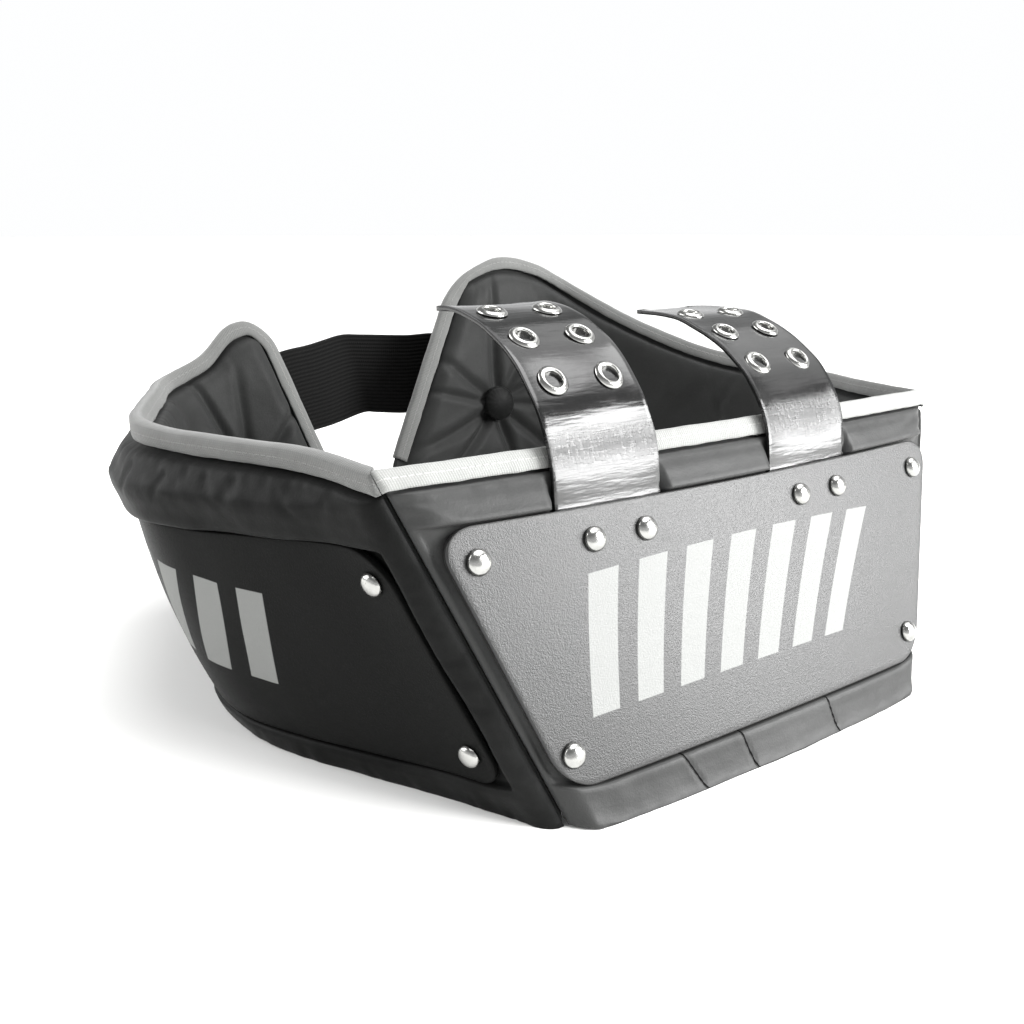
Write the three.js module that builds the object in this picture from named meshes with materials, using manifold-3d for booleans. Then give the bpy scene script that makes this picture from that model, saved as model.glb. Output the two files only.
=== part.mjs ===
// A padded rib protector for contact sport: three quilted pads sewn in a ring, stiff plates riveted outside
// them, two eyelet straps that hook to shoulder pads, and an elastic belt across the open front.
// Millimetres, +Z up. It stands on its lower edges, and the back panel faces -Y.
import * as THREE from "three";
import { mergeVertices } from "three/addons/utils/BufferGeometryUtils.js";
import Module from "manifold-3d";

// Driving sizes of the pads
const ringHalfWidth = 177; // body to the widest point of a side pad's rim
const ringDepth = 262; // seat of the front flaps, measured from the back pad's seam line
const padHeight = 113; // back pad, from the floor to its rim
const sideHeight = 115; // side pads where they stay level
const backRimHalf = 133.5; // half the back pad's width at its rim
const backFootHalf = 89.5; // and at its foot
const backFootSet = 24.3; // how far the back pad's foot stands out behind its rim's seam line
const backRimSet = 13; // and how far its rim leans in
const backBow = 3; // how far the back pad bows out between its seams
const sideBulge = 7; // how far the side pads bulge out at the middle of their height
const seamLift = 5; // how far the pads' feet rise towards a seam
const seamLiftRun = 24; // over this length
const puffOut = 9.5; // how far the pads puff out from the sewn line
const puffIn = 9; // and in, towards the body
const seamHalf = 1.2; // half the thickness left where the covers are sewn together
const cornerPuff = 9; // length over which a pad swells from its seam
const padGap = 0.3; // between two pads at their seam

// Driving sizes of the plates
const plateThick = 2.5;
const plateCorner = 13; // corner radius
const plateBackInset = 3.5; // plate's edge to the back pad's seams
const plateSideInset = 10; // plate's edge to the side pad's rear seam
const plateSideEnd = 0.7; // share of the side pad's run at which its plate ends
const backPlateLow = 12.5; // pad's foot to the plate's lower edge
const backPlateDrop = 20; // pad's rim to the plate's upper edge
const sidePlateLowRear = 15;
const sidePlateLowFront = 7;
const sidePlateDrop = 25;
const sidePlateSag = 7; // how much further down its upper edge dips at its middle

// Driving sizes of the straps, belt, binding and hardware
const strapWidth = 44.5;
const strapThick = 1.6;
const strapSpacing = 100; // between the straps' centre lines
const strapSide = -4; // the straps' middle, off the back pad's
const strapSteps = 20; // over the free length
const strapFree = 112; // length above the plate's upper edge
const strapTuck = 24; // length held behind the plate
const strapCorner = 9; // corner radius of the free end
const eyeletFirst = 43; // plate's edge to the first row of eyelets
const eyeletPitch = 20;
const eyeletRows = 3;
const eyeletSpread = 23.5; // between the two eyelets of a row
const eyeletOuter = 5.6; // radius
const eyeletHole = 3.1; // radius
const eyeletWall = 0.7;
const eyeletFlange = 0.8;
const eyeletSeat = 0.6; // flange to the strap's face, which bends under it
const beltWidth = 46;
const beltThick = 2;
const bindingHeight = 5.6; // how far the tape reaches down each side of the rim
const bindingThick = 1.3;
const hemTopCorner = 16; // corner radii of the front flaps
const hemFootCorner = 16;
const rivetHead = 4.2; // radius
const rivetDome = 2.6;
const headRest = 0.45; // from the curved plate's face to the head
const climbReach = 1.6; // share of a head's radius in which its plate may climb
const climbPlaces = 12;
const rivetShank = 2; // radius
const rivetInset = 12; // plate's upper or lower edge to the centre of a corner rivet
const rivetEndInset = 9; // and from the plate's end
const rivetPairDrop = 10.5; // back plate's upper edge to the strap rivets
const rivetPairSpread = 22; // between the two rivets of a strap
const buttonRadius = 10;
const buttonDome = 4;
const buttonRest = 1.3; // from the dent's folds to the button
const seatGap = 0.3; // between two pieces that touch

const underPlate = 4.2; // the pads are pressed to this depth under the plates
const plateSeat = underPlate + 0.5; // depth of the plates' inner face
const strapSeat = plateSeat - seatGap - strapThick; // depth of the straps' inner face
const plateFace = plateSeat + plateThick;

// Side pads from just past the rear seam to the front flap's end. x is a share of ringHalfWidth, y of
// ringDepth and z of sideHeight, for the foot and for the rim. The left flap lies lower than the right.
const leftRows = [
  { footX: 0.556, footY: 0.005, footZ: 0.000, rimX: 0.795, rimY: 0.164, rimZ: 1.000 },
  { footX: 0.636, footY: 0.116, footZ: 0.000, rimX: 0.866, rimY: 0.279, rimZ: 1.000 },
  { footX: 0.721, footY: 0.228, footZ: 0.000, rimX: 0.930, rimY: 0.382, rimZ: 1.000 },
  { footX: 0.780, footY: 0.329, footZ: 0.000, rimX: 0.960, rimY: 0.447, rimZ: 1.009 },
  { footX: 0.793, footY: 0.422, footZ: 0.000, rimX: 0.945, rimY: 0.508, rimZ: 1.009 },
  { footX: 0.749, footY: 0.549, footZ: 0.000, rimX: 0.885, rimY: 0.622, rimZ: 1.000 },
  { footX: 0.654, footY: 0.721, footZ: 0.020, rimX: 0.780, rimY: 0.805, rimZ: 0.986 },
  { footX: 0.566, footY: 0.851, footZ: 0.055, rimX: 0.695, rimY: 0.947, rimZ: 0.977 },
  { footX: 0.472, footY: 0.899, footZ: 0.105, rimX: 0.565, rimY: 0.981, rimZ: 1.052 },
  { footX: 0.339, footY: 0.919, footZ: 0.165, rimX: 0.475, rimY: 0.996, rimZ: 1.164 },
  { footX: 0.168, footY: 0.927, footZ: 0.240, rimX: 0.375, rimY: 1.000, rimZ: 1.188 },
];
const rightRows = [
  { footX: 0.560, footY: 0.005, footZ: 0.000, rimX: 0.814, rimY: 0.164, rimZ: 0.974 },
  { footX: 0.639, footY: 0.116, footZ: 0.000, rimX: 0.898, rimY: 0.279, rimZ: 0.965 },
  { footX: 0.718, footY: 0.227, footZ: 0.000, rimX: 0.972, rimY: 0.382, rimZ: 0.957 },
  { footX: 0.777, footY: 0.328, footZ: 0.000, rimX: 1.000, rimY: 0.447, rimZ: 0.957 },
  { footX: 0.792, footY: 0.427, footZ: 0.020, rimX: 0.977, rimY: 0.511, rimZ: 0.965 },
  { footX: 0.752, footY: 0.559, footZ: 0.065, rimX: 0.904, rimY: 0.630, rimZ: 1.009 },
  { footX: 0.664, footY: 0.724, footZ: 0.120, rimX: 0.802, rimY: 0.802, rimZ: 1.141 },
  { footX: 0.569, footY: 0.862, footZ: 0.175, rimX: 0.684, rimY: 0.954, rimZ: 1.322 },
  { footX: 0.451, footY: 0.907, footZ: 0.215, rimX: 0.588, rimY: 0.989, rimZ: 1.404 },
  { footX: 0.261, footY: 0.927, footZ: 0.265, rimX: 0.455, rimY: 1.000, rimZ: 1.432 },
  { footX: -0.035, footY: 0.931, footZ: 0.390, rimX: 0.282, rimY: 1.000, rimZ: 1.329 },
];

// Outline of a pad's cross-section, once round. out is a share of puffOut, or of puffIn where it is
// negative, backOut is the back pad's own share, and rise is a share of the pad's height. Rows marked
// pressed count rise between the plate's edges and lie flat under the plate, sewn rows keep seamHalf
// from the sheet, and hem rows stay just below the tape.
const padOutline = [
  { out: 0.2, backOut: 0.1, rise: -0.02 },
  { out: 0.85, backOut: 0.85, rise: -0.036 },
  { out: 1.05, backOut: 0.98, rise: 0.004 },
  { out: 1.0, backOut: 0.95, rise: 0.042 },
  { out: 0.86, backOut: 0.8, rise: 0, pressed: true },
  { out: 0.92, backOut: 0.8, rise: 0.34, pressed: true },
  { out: 0.92, backOut: 0.8, rise: 0.66, pressed: true },
  { out: 0.86, backOut: 0.7, rise: 1, pressed: true },
  { out: 1.4, backOut: 0.42, rise: 0.875 },
  { out: 1.0, backOut: 0.36, rise: 0.916 },
  { out: 1, rise: 0.95, sewn: true, hem: true },
  { out: 1, rise: 1.0, sewn: true },
  { out: -1, rise: 1.0, sewn: true },
  { out: -1, rise: 0.95, sewn: true, hem: true },
  { out: -0.72, rise: 0.92 },
  { out: -0.98, rise: 0.86 },
  { out: -1.0, rise: 0.66 },
  { out: -1.0, rise: 0.5 },
  { out: -1.0, rise: 0.36 },
  { out: -0.95, rise: 0.2 },
  { out: -0.7, rise: 0.03 },
  { out: -0.3, rise: -0.006 },
];
const hemDepth = bindingHeight * 1.3 + 2 * seatGap; // sewn flat hem under the tape
const pressMargin = 1; // the pads are pressed flat this far past a plate's edges
const pressSlope = 2.5; // and swell again over this length

// The straps' lean from upright, in degrees, along their free length
const leftLean = [
  { run: 0.0, lean: 5 },
  { run: 0.12, lean: 12 },
  { run: 0.2, lean: 22 },
  { run: 0.38, lean: 44 },
  { run: 0.56, lean: 60 },
  { run: 0.74, lean: 78 },
  { run: 0.86, lean: 90 },
  { run: 1.0, lean: 98 },
];
const rightLean = [
  { run: 0.0, lean: 5 },
  { run: 0.12, lean: 12 },
  { run: 0.2, lean: 24 },
  { run: 0.25, lean: 38 },
  { run: 0.38, lean: 51 },
  { run: 0.56, lean: 67 },
  { run: 0.74, lean: 82 },
  { run: 0.86, lean: 90 },
  { run: 1.0, lean: 94 },
];

// The belt between the flaps: x as a share of ringHalfWidth, y of ringDepth, z of sideHeight, at its
// middle line. slant moves the lower edge towards +x, as a share of beltWidth.
const beltRows = [
  { x: -0.27, y: 1.042, z: 0.833, slant: 0.24 },
  { x: -0.15, y: 1.066, z: 0.854, slant: 0.26 },
  { x: -0.03, y: 1.095, z: 0.882, slant: 0.27 },
  { x: 0.0, y: 1.098, z: 0.885, slant: 0.27 },
  { x: 0.04, y: 1.094, z: 0.880, slant: 0.15 },
  { x: 0.16, y: 1.082, z: 0.866, slant: -0.1 },
  { x: 0.27, y: 1.07, z: 0.861, slant: -0.25 },
];
const beltLeft = { from: 0.84, to: 0.93, rise: 0.62 }; // where the belt is sewn on the left flap
const beltRight = { from: 0.93, to: 0.85, rise: 0.47 };

const leftTuft = { run: 0.87, rise: 0.4 }; // the button on each flap
const rightTuft = { run: 0.855, rise: 0.4 };
const tuftReach = 30; // radius of the dent that a button pulls in the pad
const tuftFolds = 9; // folds that run out from a button
const foldDepth = 1.3;

const wasm = await Module();
wasm.setup();

// A closed geometry as a solid that can be cut, and back
function solidOf(geometry) {
  const plain = geometry.clone();
  plain.deleteAttribute("normal");
  plain.deleteAttribute("uv");
  const merged = mergeVertices(plain, 1e-4);
  return new wasm.Manifold(
    new wasm.Mesh({
      numProp: 3,
      vertProperties: merged.attributes.position.array,
      triVerts: new Uint32Array(merged.index.array),
    }),
  );
}
function geometryOf(solid) {
  const mesh = solid.getMesh();
  const geometry = new THREE.BufferGeometry();
  geometry.setAttribute("position", new THREE.BufferAttribute(mesh.vertProperties, 3));
  geometry.setIndex(new THREE.BufferAttribute(mesh.triVerts, 1));
  return geometry;
}

// Joins closed rings of points into a solid. flat is the ring's own outline, used to close both ends.
// Without it a ring is two sides of equal count, closed by a strip between them.
function loft(rings, flat) {
  const size = rings[0].length;
  const positions = rings.flat().flatMap((p) => [p.x, p.y, p.z]);
  const faces = [];
  for (let i = 0; i + 1 < rings.length; i++) {
    for (let j = 0; j < size; j++) {
      const a = i * size + j;
      const b = i * size + ((j + 1) % size);
      faces.push(a, a + size, b, b, a + size, b + size);
    }
  }
  const last = (rings.length - 1) * size;
  const strip = [];
  for (let i = 0; i + 1 < size / 2; i++) {
    strip.push([i, i + 1, size - 1 - i], [i + 1, size - 2 - i, size - 1 - i]);
  }
  for (const [a, b, c] of flat ? THREE.ShapeUtils.triangulateShape(flat, []) : strip) {
    faces.push(a, b, c, last + a, last + c, last + b);
  }
  const geometry = new THREE.BufferGeometry();
  geometry.setAttribute("position", new THREE.Float32BufferAttribute(positions, 3));
  geometry.setIndex(faces);
  return facingOut(geometry);
}

// Turns a closed geometry the right way round
function facingOut(geometry) {
  if (solidOf(geometry).volume() > 0) return geometry;
  const index = geometry.index.array;
  for (let i = 0; i < index.length; i += 3) [index[i + 1], index[i + 2]] = [index[i + 2], index[i + 1]];
  return geometry;
}

// A value between the rows of a table, by its run column
function between(rows, run, column) {
  const after = rows.findIndex((row) => row.run >= run);
  if (after <= 0) return rows[after === 0 ? 0 : rows.length - 1][column];
  const [a, b] = [rows[after - 1], rows[after]];
  return THREE.MathUtils.mapLinear(run, a.run, b.run, a[column], b[column]);
}

// A panel is the sewn sheet between a foot curve and a rim curve. run goes along it by the length of its
// middle line, from left to right as seen from outside, and rise goes up it.
function panelOf(feet, rims) {
  const foot = new THREE.CatmullRomCurve3(feet, false, "centripetal");
  const rim = new THREE.CatmullRomCurve3(rims, false, "centripetal");
  const middle = (t) => foot.getPoint(t).lerp(rim.getPoint(t), 0.5);
  const steps = 240;
  const lengths = [0];
  for (let i = 1; i <= steps; i++) {
    lengths.push(lengths[i - 1] + middle(i / steps).distanceTo(middle((i - 1) / steps)));
  }
  const length = lengths[steps];
  const at = (run) => {
    const target = THREE.MathUtils.clamp(run, 0, 1) * length;
    const after = Math.max(lengths.findIndex((value) => value >= target), 1);
    const share = (target - lengths[after - 1]) / (lengths[after] - lengths[after - 1]);
    return (after - 1 + share) / steps;
  };
  return { foot, rim, length, at, bulge: 0 };
}
function onSheet(panel, run, rise) {
  const t = panel.at(run);
  return panel.foot.getPoint(t).lerp(panel.rim.getPoint(t), rise);
}
function heightAt(panel, run) {
  return onSheet(panel, run, 1).distanceTo(onSheet(panel, run, 0));
}
function outward(panel, run, rise) {
  const step = 0.004;
  const along = onSheet(panel, run + step, rise).sub(onSheet(panel, run - step, rise));
  const up = onSheet(panel, run, 1).sub(onSheet(panel, run, 0));
  return along.cross(up).normalize();
}
// How far the sheet bulges out between its foot and its rim
function bulgeAt(panel, run, rise) {
  return panel.bulge * 4 * rise * (1 - rise) * Math.sin(Math.PI * THREE.MathUtils.clamp(run, 0, 1));
}
function skin(panel, run, rise, depth) {
  const out = outward(panel, run, rise);
  return onSheet(panel, run, rise).addScaledVector(out, depth + bulgeAt(panel, run, rise));
}

function sidePanel(rows, sign) {
  const ordered = sign < 0 ? [...rows].reverse() : rows;
  const place = (x, y, z) => new THREE.Vector3(sign * x * ringHalfWidth, y * ringDepth, z * sideHeight);
  const feet = ordered.map((row) => place(row.footX, row.footY, row.footZ));
  const rims = ordered.map((row) => place(row.rimX, row.rimY, row.rimZ));
  const add = sign < 0 ? "push" : "unshift";
  feet[add](new THREE.Vector3(sign * backFootHalf, -backFootSet, 0));
  rims[add](new THREE.Vector3(sign * backRimHalf, backRimSet, padHeight));
  return { ...panelOf(feet, rims), bulge: sideBulge };
}
function backPanel() {
  const feet = [];
  const rims = [];
  for (const x of [-1, -0.5, 0, 0.5, 1]) {
    const bow = backBow * (1 - x * x);
    feet.push(new THREE.Vector3(x * backFootHalf, -backFootSet - bow, 0));
    rims.push(new THREE.Vector3(x * backRimHalf, backRimSet - bow, padHeight));
  }
  return panelOf(feet, rims);
}

const back = backPanel();
const left = sidePanel(leftRows, -1);
const right = sidePanel(rightRows, 1);
// A run that is counted from the rear seam, on either side pad
const leftRun = (run) => 1 - run;
const rightRun = (run) => run;

// Share of the full puff at a distance from a sewn end
function swell(distance) {
  const near = Math.min(Math.max(distance / cornerPuff, 0), 1);
  return Math.sqrt(1 - (1 - near) ** 2);
}

// A pad's lowest and highest rise, at a distance from a flap's rounded end and from a seam
function cornerLimits(height, distance, toSeam) {
  const round = (radius) => radius - Math.sqrt(Math.max(radius ** 2 - Math.max(radius - distance, 0) ** 2, 0));
  const lift = seamLift * Math.max(1 - toSeam / seamLiftRun, 0) ** 2;
  return { low: (round(hemFootCorner) + lift) / height, high: 1 - round(hemTopCorner) / height };
}

// A button's dent and folds: how much of the puff is left at a point of the sheet
function tufted(panel, tuft, run, rise) {
  if (!tuft) return { left: 1, fold: 0 };
  const centre = onSheet(panel, tuft.run, tuft.rise);
  const point = onSheet(panel, run, rise);
  const along = (run - tuft.run) * panel.length;
  const up = (rise - tuft.rise) * heightAt(panel, run);
  const away = point.distanceTo(centre) / tuftReach;
  const dent = 0.62 * Math.exp(-4 * away * away);
  const ring = Math.min(away, 1) * Math.exp(-1.1 * away);
  return { left: 1 - dent, fold: foldDepth * ring * Math.cos(tuftFolds * Math.atan2(up, along)) };
}

// A pad, lofted through cross-sections at the given runs
function padGeometry(panel, runs, { openEnd, tuft, plateRuns, plateEdges, outColumn }) {
  const margin = pressMargin / panel.length;
  const rings = runs.map((run) => {
    const height = heightAt(panel, run);
    const lift = pressMargin / height;
    const fromStart = run * panel.length;
    const fromEnd = (1 - run) * panel.length;
    const free = openEnd === "start" ? fromStart : openEnd === "end" ? fromEnd : Infinity;
    const openRun = openEnd === "start" ? 0 : 1;
    const endEdge = new THREE.Line3(onSheet(panel, openRun, 0), onSheet(panel, openRun, 1));
    const fullAt = (rise) => {
      if (!openEnd) return swell(Math.min(fromStart, fromEnd));
      const point = onSheet(panel, run, rise);
      const toOpen = point.distanceTo(endEdge.closestPointToPoint(point, false, new THREE.Vector3()));
      return swell(Math.min(openRun ? fromStart : fromEnd, Math.max(toOpen - hemDepth, 0)));
    };
    const toSeam = openEnd === "start" ? fromEnd : openEnd === "end" ? fromStart : Math.min(fromStart, fromEnd);
    const limits = cornerLimits(height, free, toSeam);
    const plated = run > plateRuns[0] - 1.01 * margin && run < plateRuns[1] + 1.01 * margin;
    return padOutline.map((row) => {
      const share = row.pressed
        ? THREE.MathUtils.lerp(plateEdges(run).low - lift, plateEdges(run).high + lift, row.rise)
        : row.rise;
      const level = THREE.MathUtils.lerp(limits.low, limits.high, share);
      const rise = row.hem ? limits.high - hemDepth / height : level;
      if (row.sewn) return skin(panel, run, rise, row.out * seamHalf);
      const side = Math.sign(row.out);
      const dent = tufted(panel, tuft, run, rise);
      const puff = row.out > 0 ? row[outColumn] * puffOut : row.out * puffIn;
      const pressed = plated && row.pressed ? underPlate : puff * dent.left;
      return skin(panel, run, rise, THREE.MathUtils.lerp(side * seamHalf, pressed + dent.fold, fullAt(rise)));
    });
  });
  return loft(rings);
}

// A block whose face passes through a point and looks along a direction
function blockBehind(point, normal) {
  const side = 4 * ringDepth;
  const block = new THREE.BoxGeometry(side, side, side).translate(0, 0, -side / 2);
  block.applyQuaternion(new THREE.Quaternion().setFromUnitVectors(new THREE.Vector3(0, 0, 1), normal));
  return solidOf(block.translate(point.x, point.y, point.z));
}

// Cuts a solid off along the mitre of each seam that it shares with a neighbour
function mitred(solid, seams) {
  for (const { panel, run, next, nextRun, away } of seams) {
    const line = onSheet(panel, run, 1).sub(onSheet(panel, run, 0));
    const middle = outward(panel, run, 0.5).add(outward(next, nextRun, 0.5));
    const normal = line.cross(middle).normalize().multiplyScalar(away);
    const point = onSheet(panel, run, 0.5).addScaledVector(normal, padGap / 2);
    solid = solid.subtract(blockBehind(point, normal));
  }
  return solid;
}

// Cuts a pad off flat at the floor
function standing(solid) {
  return solid.subtract(blockBehind(new THREE.Vector3(), new THREE.Vector3(0, 0, 1)));
}

// The tape round a panel's hem, a U in section. path holds places on the sheet's edge in turn, with the
// direction that leads off the edge there.
function bindingGeometry(panel, path) {
  const inner = seamHalf + 1.5 * seatGap;
  const outer = inner + bindingThick;
  const slotDepth = 2.5 * seatGap;
  const legFlare = 3 * seatGap;
  const section = [
    { n: inner + legFlare, e: -bindingHeight },
    { n: outer + legFlare, e: -bindingHeight },
    { n: outer + legFlare, e: -bindingHeight / 2 },
    { n: outer, e: 0 },
    { n: outer * 0.6, e: slotDepth + bindingThick * 0.85 },
    { n: 0, e: slotDepth + bindingThick },
    { n: -outer * 0.6, e: slotDepth + bindingThick * 0.85 },
    { n: -outer, e: 0 },
    { n: -outer - legFlare, e: -bindingHeight / 2 },
    { n: -outer - legFlare, e: -bindingHeight },
    { n: -inner - legFlare, e: -bindingHeight },
    { n: -inner, e: slotDepth },
    { n: inner, e: slotDepth },
  ];
  const rings = path.map(({ run, rise, alongOff, upOff }) => {
    const normal = outward(panel, run, rise);
    const up = onSheet(panel, run, 1).sub(onSheet(panel, run, 0)).normalize();
    const along = up.clone().cross(normal).normalize();
    const off = along.multiplyScalar(alongOff).addScaledVector(up, upOff).normalize();
    const base = skin(panel, run, rise, 0);
    return section.map(({ n, e }) => base.clone().addScaledVector(normal, n).addScaledVector(off, e));
  });
  return loft(rings, section.map(({ n, e }) => new THREE.Vector2(n, e)));
}

// The path of the tape along a side pad's rim, round its corner and down its front end, its run counted
// from the rear seam and turned to the panel's own by toRun. Along the rim it has a place at each of runs.
function flapPath(panel, runs, toRun, sign) {
  const path = [];
  const height = heightAt(panel, toRun(1));
  const [top, foot] = [hemTopCorner, hemFootCorner];
  const cornerRun = 1 - asRun(panel, top);
  const rimRuns = runs.map(toRun).filter((run) => run < cornerRun - asRun(panel, 1));
  for (const run of [...rimRuns.sort((a, b) => a - b), cornerRun]) path.push({ run, rise: 1, alongOff: 0, upOff: 1 });
  for (const share of [0.25, 0.5, 0.75, 1]) {
    const angle = (share * Math.PI) / 2;
    const run = 1 - asRun(panel, top * (1 - Math.sin(angle)));
    const rise = 1 - (top * (1 - Math.cos(angle))) / height;
    path.push({ run, rise, alongOff: Math.sin(angle), upOff: Math.cos(angle) });
  }
  const [high, low] = [1 - top / height, foot / height];
  for (const share of [0.25, 0.5, 0.75, 1]) {
    path.push({ run: 1, rise: THREE.MathUtils.lerp(high, low, share), alongOff: 1, upOff: 0 });
  }
  return path.map((at) => ({ ...at, run: toRun(at.run), alongOff: at.alongOff * sign }));
}

// Runs spread along a panel, closer together at its two ends and at its plate's edges
function spread(panel, count, plateRuns, openEnd) {
  const sewn = [0, 0.12, 0.4, 1].map((share) => share * cornerPuff);
  const hemmed = [0, 0.25, 0.6].map((share) => share * hemDepth);
  const open = [...hemmed, ...sewn.map((length) => hemDepth + length)];
  const [start, end] = [openEnd === "start" ? open : sewn, openEnd === "end" ? open : sewn];
  const ends = [...start.map((length) => asRun(panel, length)), ...end.map((length) => 1 - asRun(panel, length))];
  const [first, last] = [asRun(panel, Math.max(...start)), 1 - asRun(panel, Math.max(...end))];
  const [margin, slope] = [asRun(panel, pressMargin), asRun(panel, pressSlope)];
  const [from, to] = [plateRuns[0] - margin, plateRuns[1] + margin];
  const edges = [from - slope, from, to, to + slope].filter((run) => run > first && run < last);
  const fixed = [...ends, ...edges];
  const inner = Array.from({ length: count - 1 }, (_, i) => (i + 1) / count);
  const kept = inner.filter((run) => fixed.every((other) => Math.abs(run - other) > 0.35 / count));
  return [...fixed, ...kept].sort((a, b) => a - b);
}

// A plate bends where the pad under it does
const underRows = padOutline.filter((row) => row.pressed && row.rise > 0 && row.rise < 1);

// A plate that follows a panel, with rounded corners. ends are its runs and edges its low and high rise,
// and between its corners it has a station at each of the pad's runs.
function plateGeometry(panel, padRuns, ends, edges) {
  const cornerRun = asRun(panel, plateCorner);
  const cornerRise = plateCorner / heightAt(panel, ends[0]);
  const quarter = [0, 0.33, 0.67, 1].map((share) => (share * Math.PI) / 2);
  const cut = quarter.map((angle) => cornerRun * (1 - Math.sin(angle)));
  const climb = quarter.map((angle) => cornerRise * (1 - Math.cos(angle)));
  const rows = [
    ...quarter.map((_, i) => ({ share: 0, climb: climb[i], cut: cut[i] })),
    ...underRows.map((row) => ({ share: row.rise, climb: 0, cut: 0 })),
    ...quarter.map((_, i) => ({ share: 1, climb: -climb[i], cut: cut[i] })).reverse(),
  ];
  const inner = padRuns.filter((run) => run > ends[0] + cornerRun && run < ends[1] - cornerRun);
  const stations = [(row) => ends[0] + row.cut, ...inner.map((run) => () => run), (row) => ends[1] - row.cut];
  const rings = stations.map((runOf) => {
    const side = (depth) =>
      rows.map((row) => {
        const run = runOf(row);
        const { low, high } = edges(run);
        return skin(panel, run, THREE.MathUtils.lerp(low, high, row.share) + row.climb, depth);
      });
    return [...side(plateSeat), ...side(plateFace).reverse()];
  });
  return loft(rings);
}

// A straight pin along the panel's outward direction, for drilling
function drill(panel, run, rise, radius) {
  const axis = outward(panel, run, rise);
  const pin = new THREE.CylinderGeometry(radius, radius, 3 * plateFace, 8);
  pin.applyQuaternion(new THREE.Quaternion().setFromUnitVectors(new THREE.Vector3(0, 1, 0), axis));
  const centre = skin(panel, run, rise, plateSeat);
  return solidOf(pin.translate(centre.x, centre.y, centre.z));
}
function drilled(geometry, pins) {
  return geometryOf(pins.reduce((solid, pin) => solid.subtract(pin), solidOf(geometry)));
}

// A domed head on a shank, standing on the origin along +Y
function rivetGeometry(radius, dome, shank, length) {
  const profile = [new THREE.Vector2(0, -length), new THREE.Vector2(shank, -length), new THREE.Vector2(shank, 0)];
  profile.push(new THREE.Vector2(radius, 0), new THREE.Vector2(radius, dome * 0.22));
  for (const angle of [50]) {
    const a = THREE.MathUtils.degToRad(angle);
    profile.push(new THREE.Vector2(radius * Math.cos(a), dome * (0.22 + 0.78 * Math.sin(a))));
  }
  profile.push(new THREE.Vector2(0, dome));
  return new THREE.LatheGeometry(profile, 10);
}

const root = new THREE.Group();
const cover = new THREE.MeshStandardMaterial({ color: 0x2b2c2a, roughness: 0.55 });
const shell = new THREE.MeshStandardMaterial({ color: 0x3a3b3a, roughness: 0.45 });
const tape = new THREE.MeshStandardMaterial({ color: 0xd9dbd6, roughness: 0.85 });
const vinyl = new THREE.MeshStandardMaterial({ color: 0x9a9c99, roughness: 0.15 });
const elastic = new THREE.MeshStandardMaterial({ color: 0x1b1c1a, roughness: 0.8 });
const nickel = new THREE.MeshStandardMaterial({ color: 0xd6d6d2, roughness: 0.25, metalness: 1 });

function add(name, geometry, material) {
  const mesh = new THREE.Mesh(geometry, material);
  mesh.name = name;
  root.add(mesh);
  return mesh;
}

// Stands a piece that was made along +Y on a panel
function stand(mesh, panel, run, rise, depth, flip = 1) {
  const axis = outward(panel, run, rise);
  mesh.quaternion.setFromUnitVectors(new THREE.Vector3(0, flip, 0), axis);
  mesh.position.copy(skin(panel, run, rise, depth));
}

// How far a plate climbs above its tangent near a head, with the plate's own flats allowed for
function climbAt(panel, run, rise) {
  const axis = outward(panel, run, rise);
  const centre = skin(panel, run, rise, plateFace);
  const climbs = Array.from({ length: climbPlaces }, (_, i) => {
    const angle = (i * 2 * Math.PI) / climbPlaces;
    const nearRun = run + (climbReach * rivetHead * Math.cos(angle)) / panel.length;
    const nearRise = rise + (climbReach * rivetHead * Math.sin(angle)) / heightAt(panel, run);
    return skin(panel, nearRun, nearRise, plateFace).sub(centre).dot(axis);
  });
  return Math.max(0, ...climbs);
}

// The share of a panel's run that a length stands for
const asRun = (panel, length) => length / panel.length;

const leftPlateRuns = [leftRun(plateSideEnd), leftRun(asRun(left, plateSideInset))];
const rightPlateRuns = [rightRun(asRun(right, plateSideInset)), rightRun(plateSideEnd)];
const backPlateRuns = [asRun(back, plateBackInset), 1 - asRun(back, plateBackInset)];
function backPlateEdges(run) {
  const height = heightAt(back, run);
  return { low: backPlateLow / height, high: 1 - backPlateDrop / height };
}
function sidePlateEdges(panel, fromRear) {
  return (run) => {
    const height = heightAt(panel, run);
    const share = THREE.MathUtils.clamp(fromRear(run) / plateSideEnd, 0, 1);
    const low = THREE.MathUtils.lerp(sidePlateLowRear, sidePlateLowFront, share);
    const drop = sidePlateDrop + sidePlateSag * Math.sin(Math.PI * share);
    return { low: low / height, high: 1 - drop / height };
  };
}
const leftPlateEdges = sidePlateEdges(left, leftRun);
const rightPlateEdges = sidePlateEdges(right, rightRun);

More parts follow.
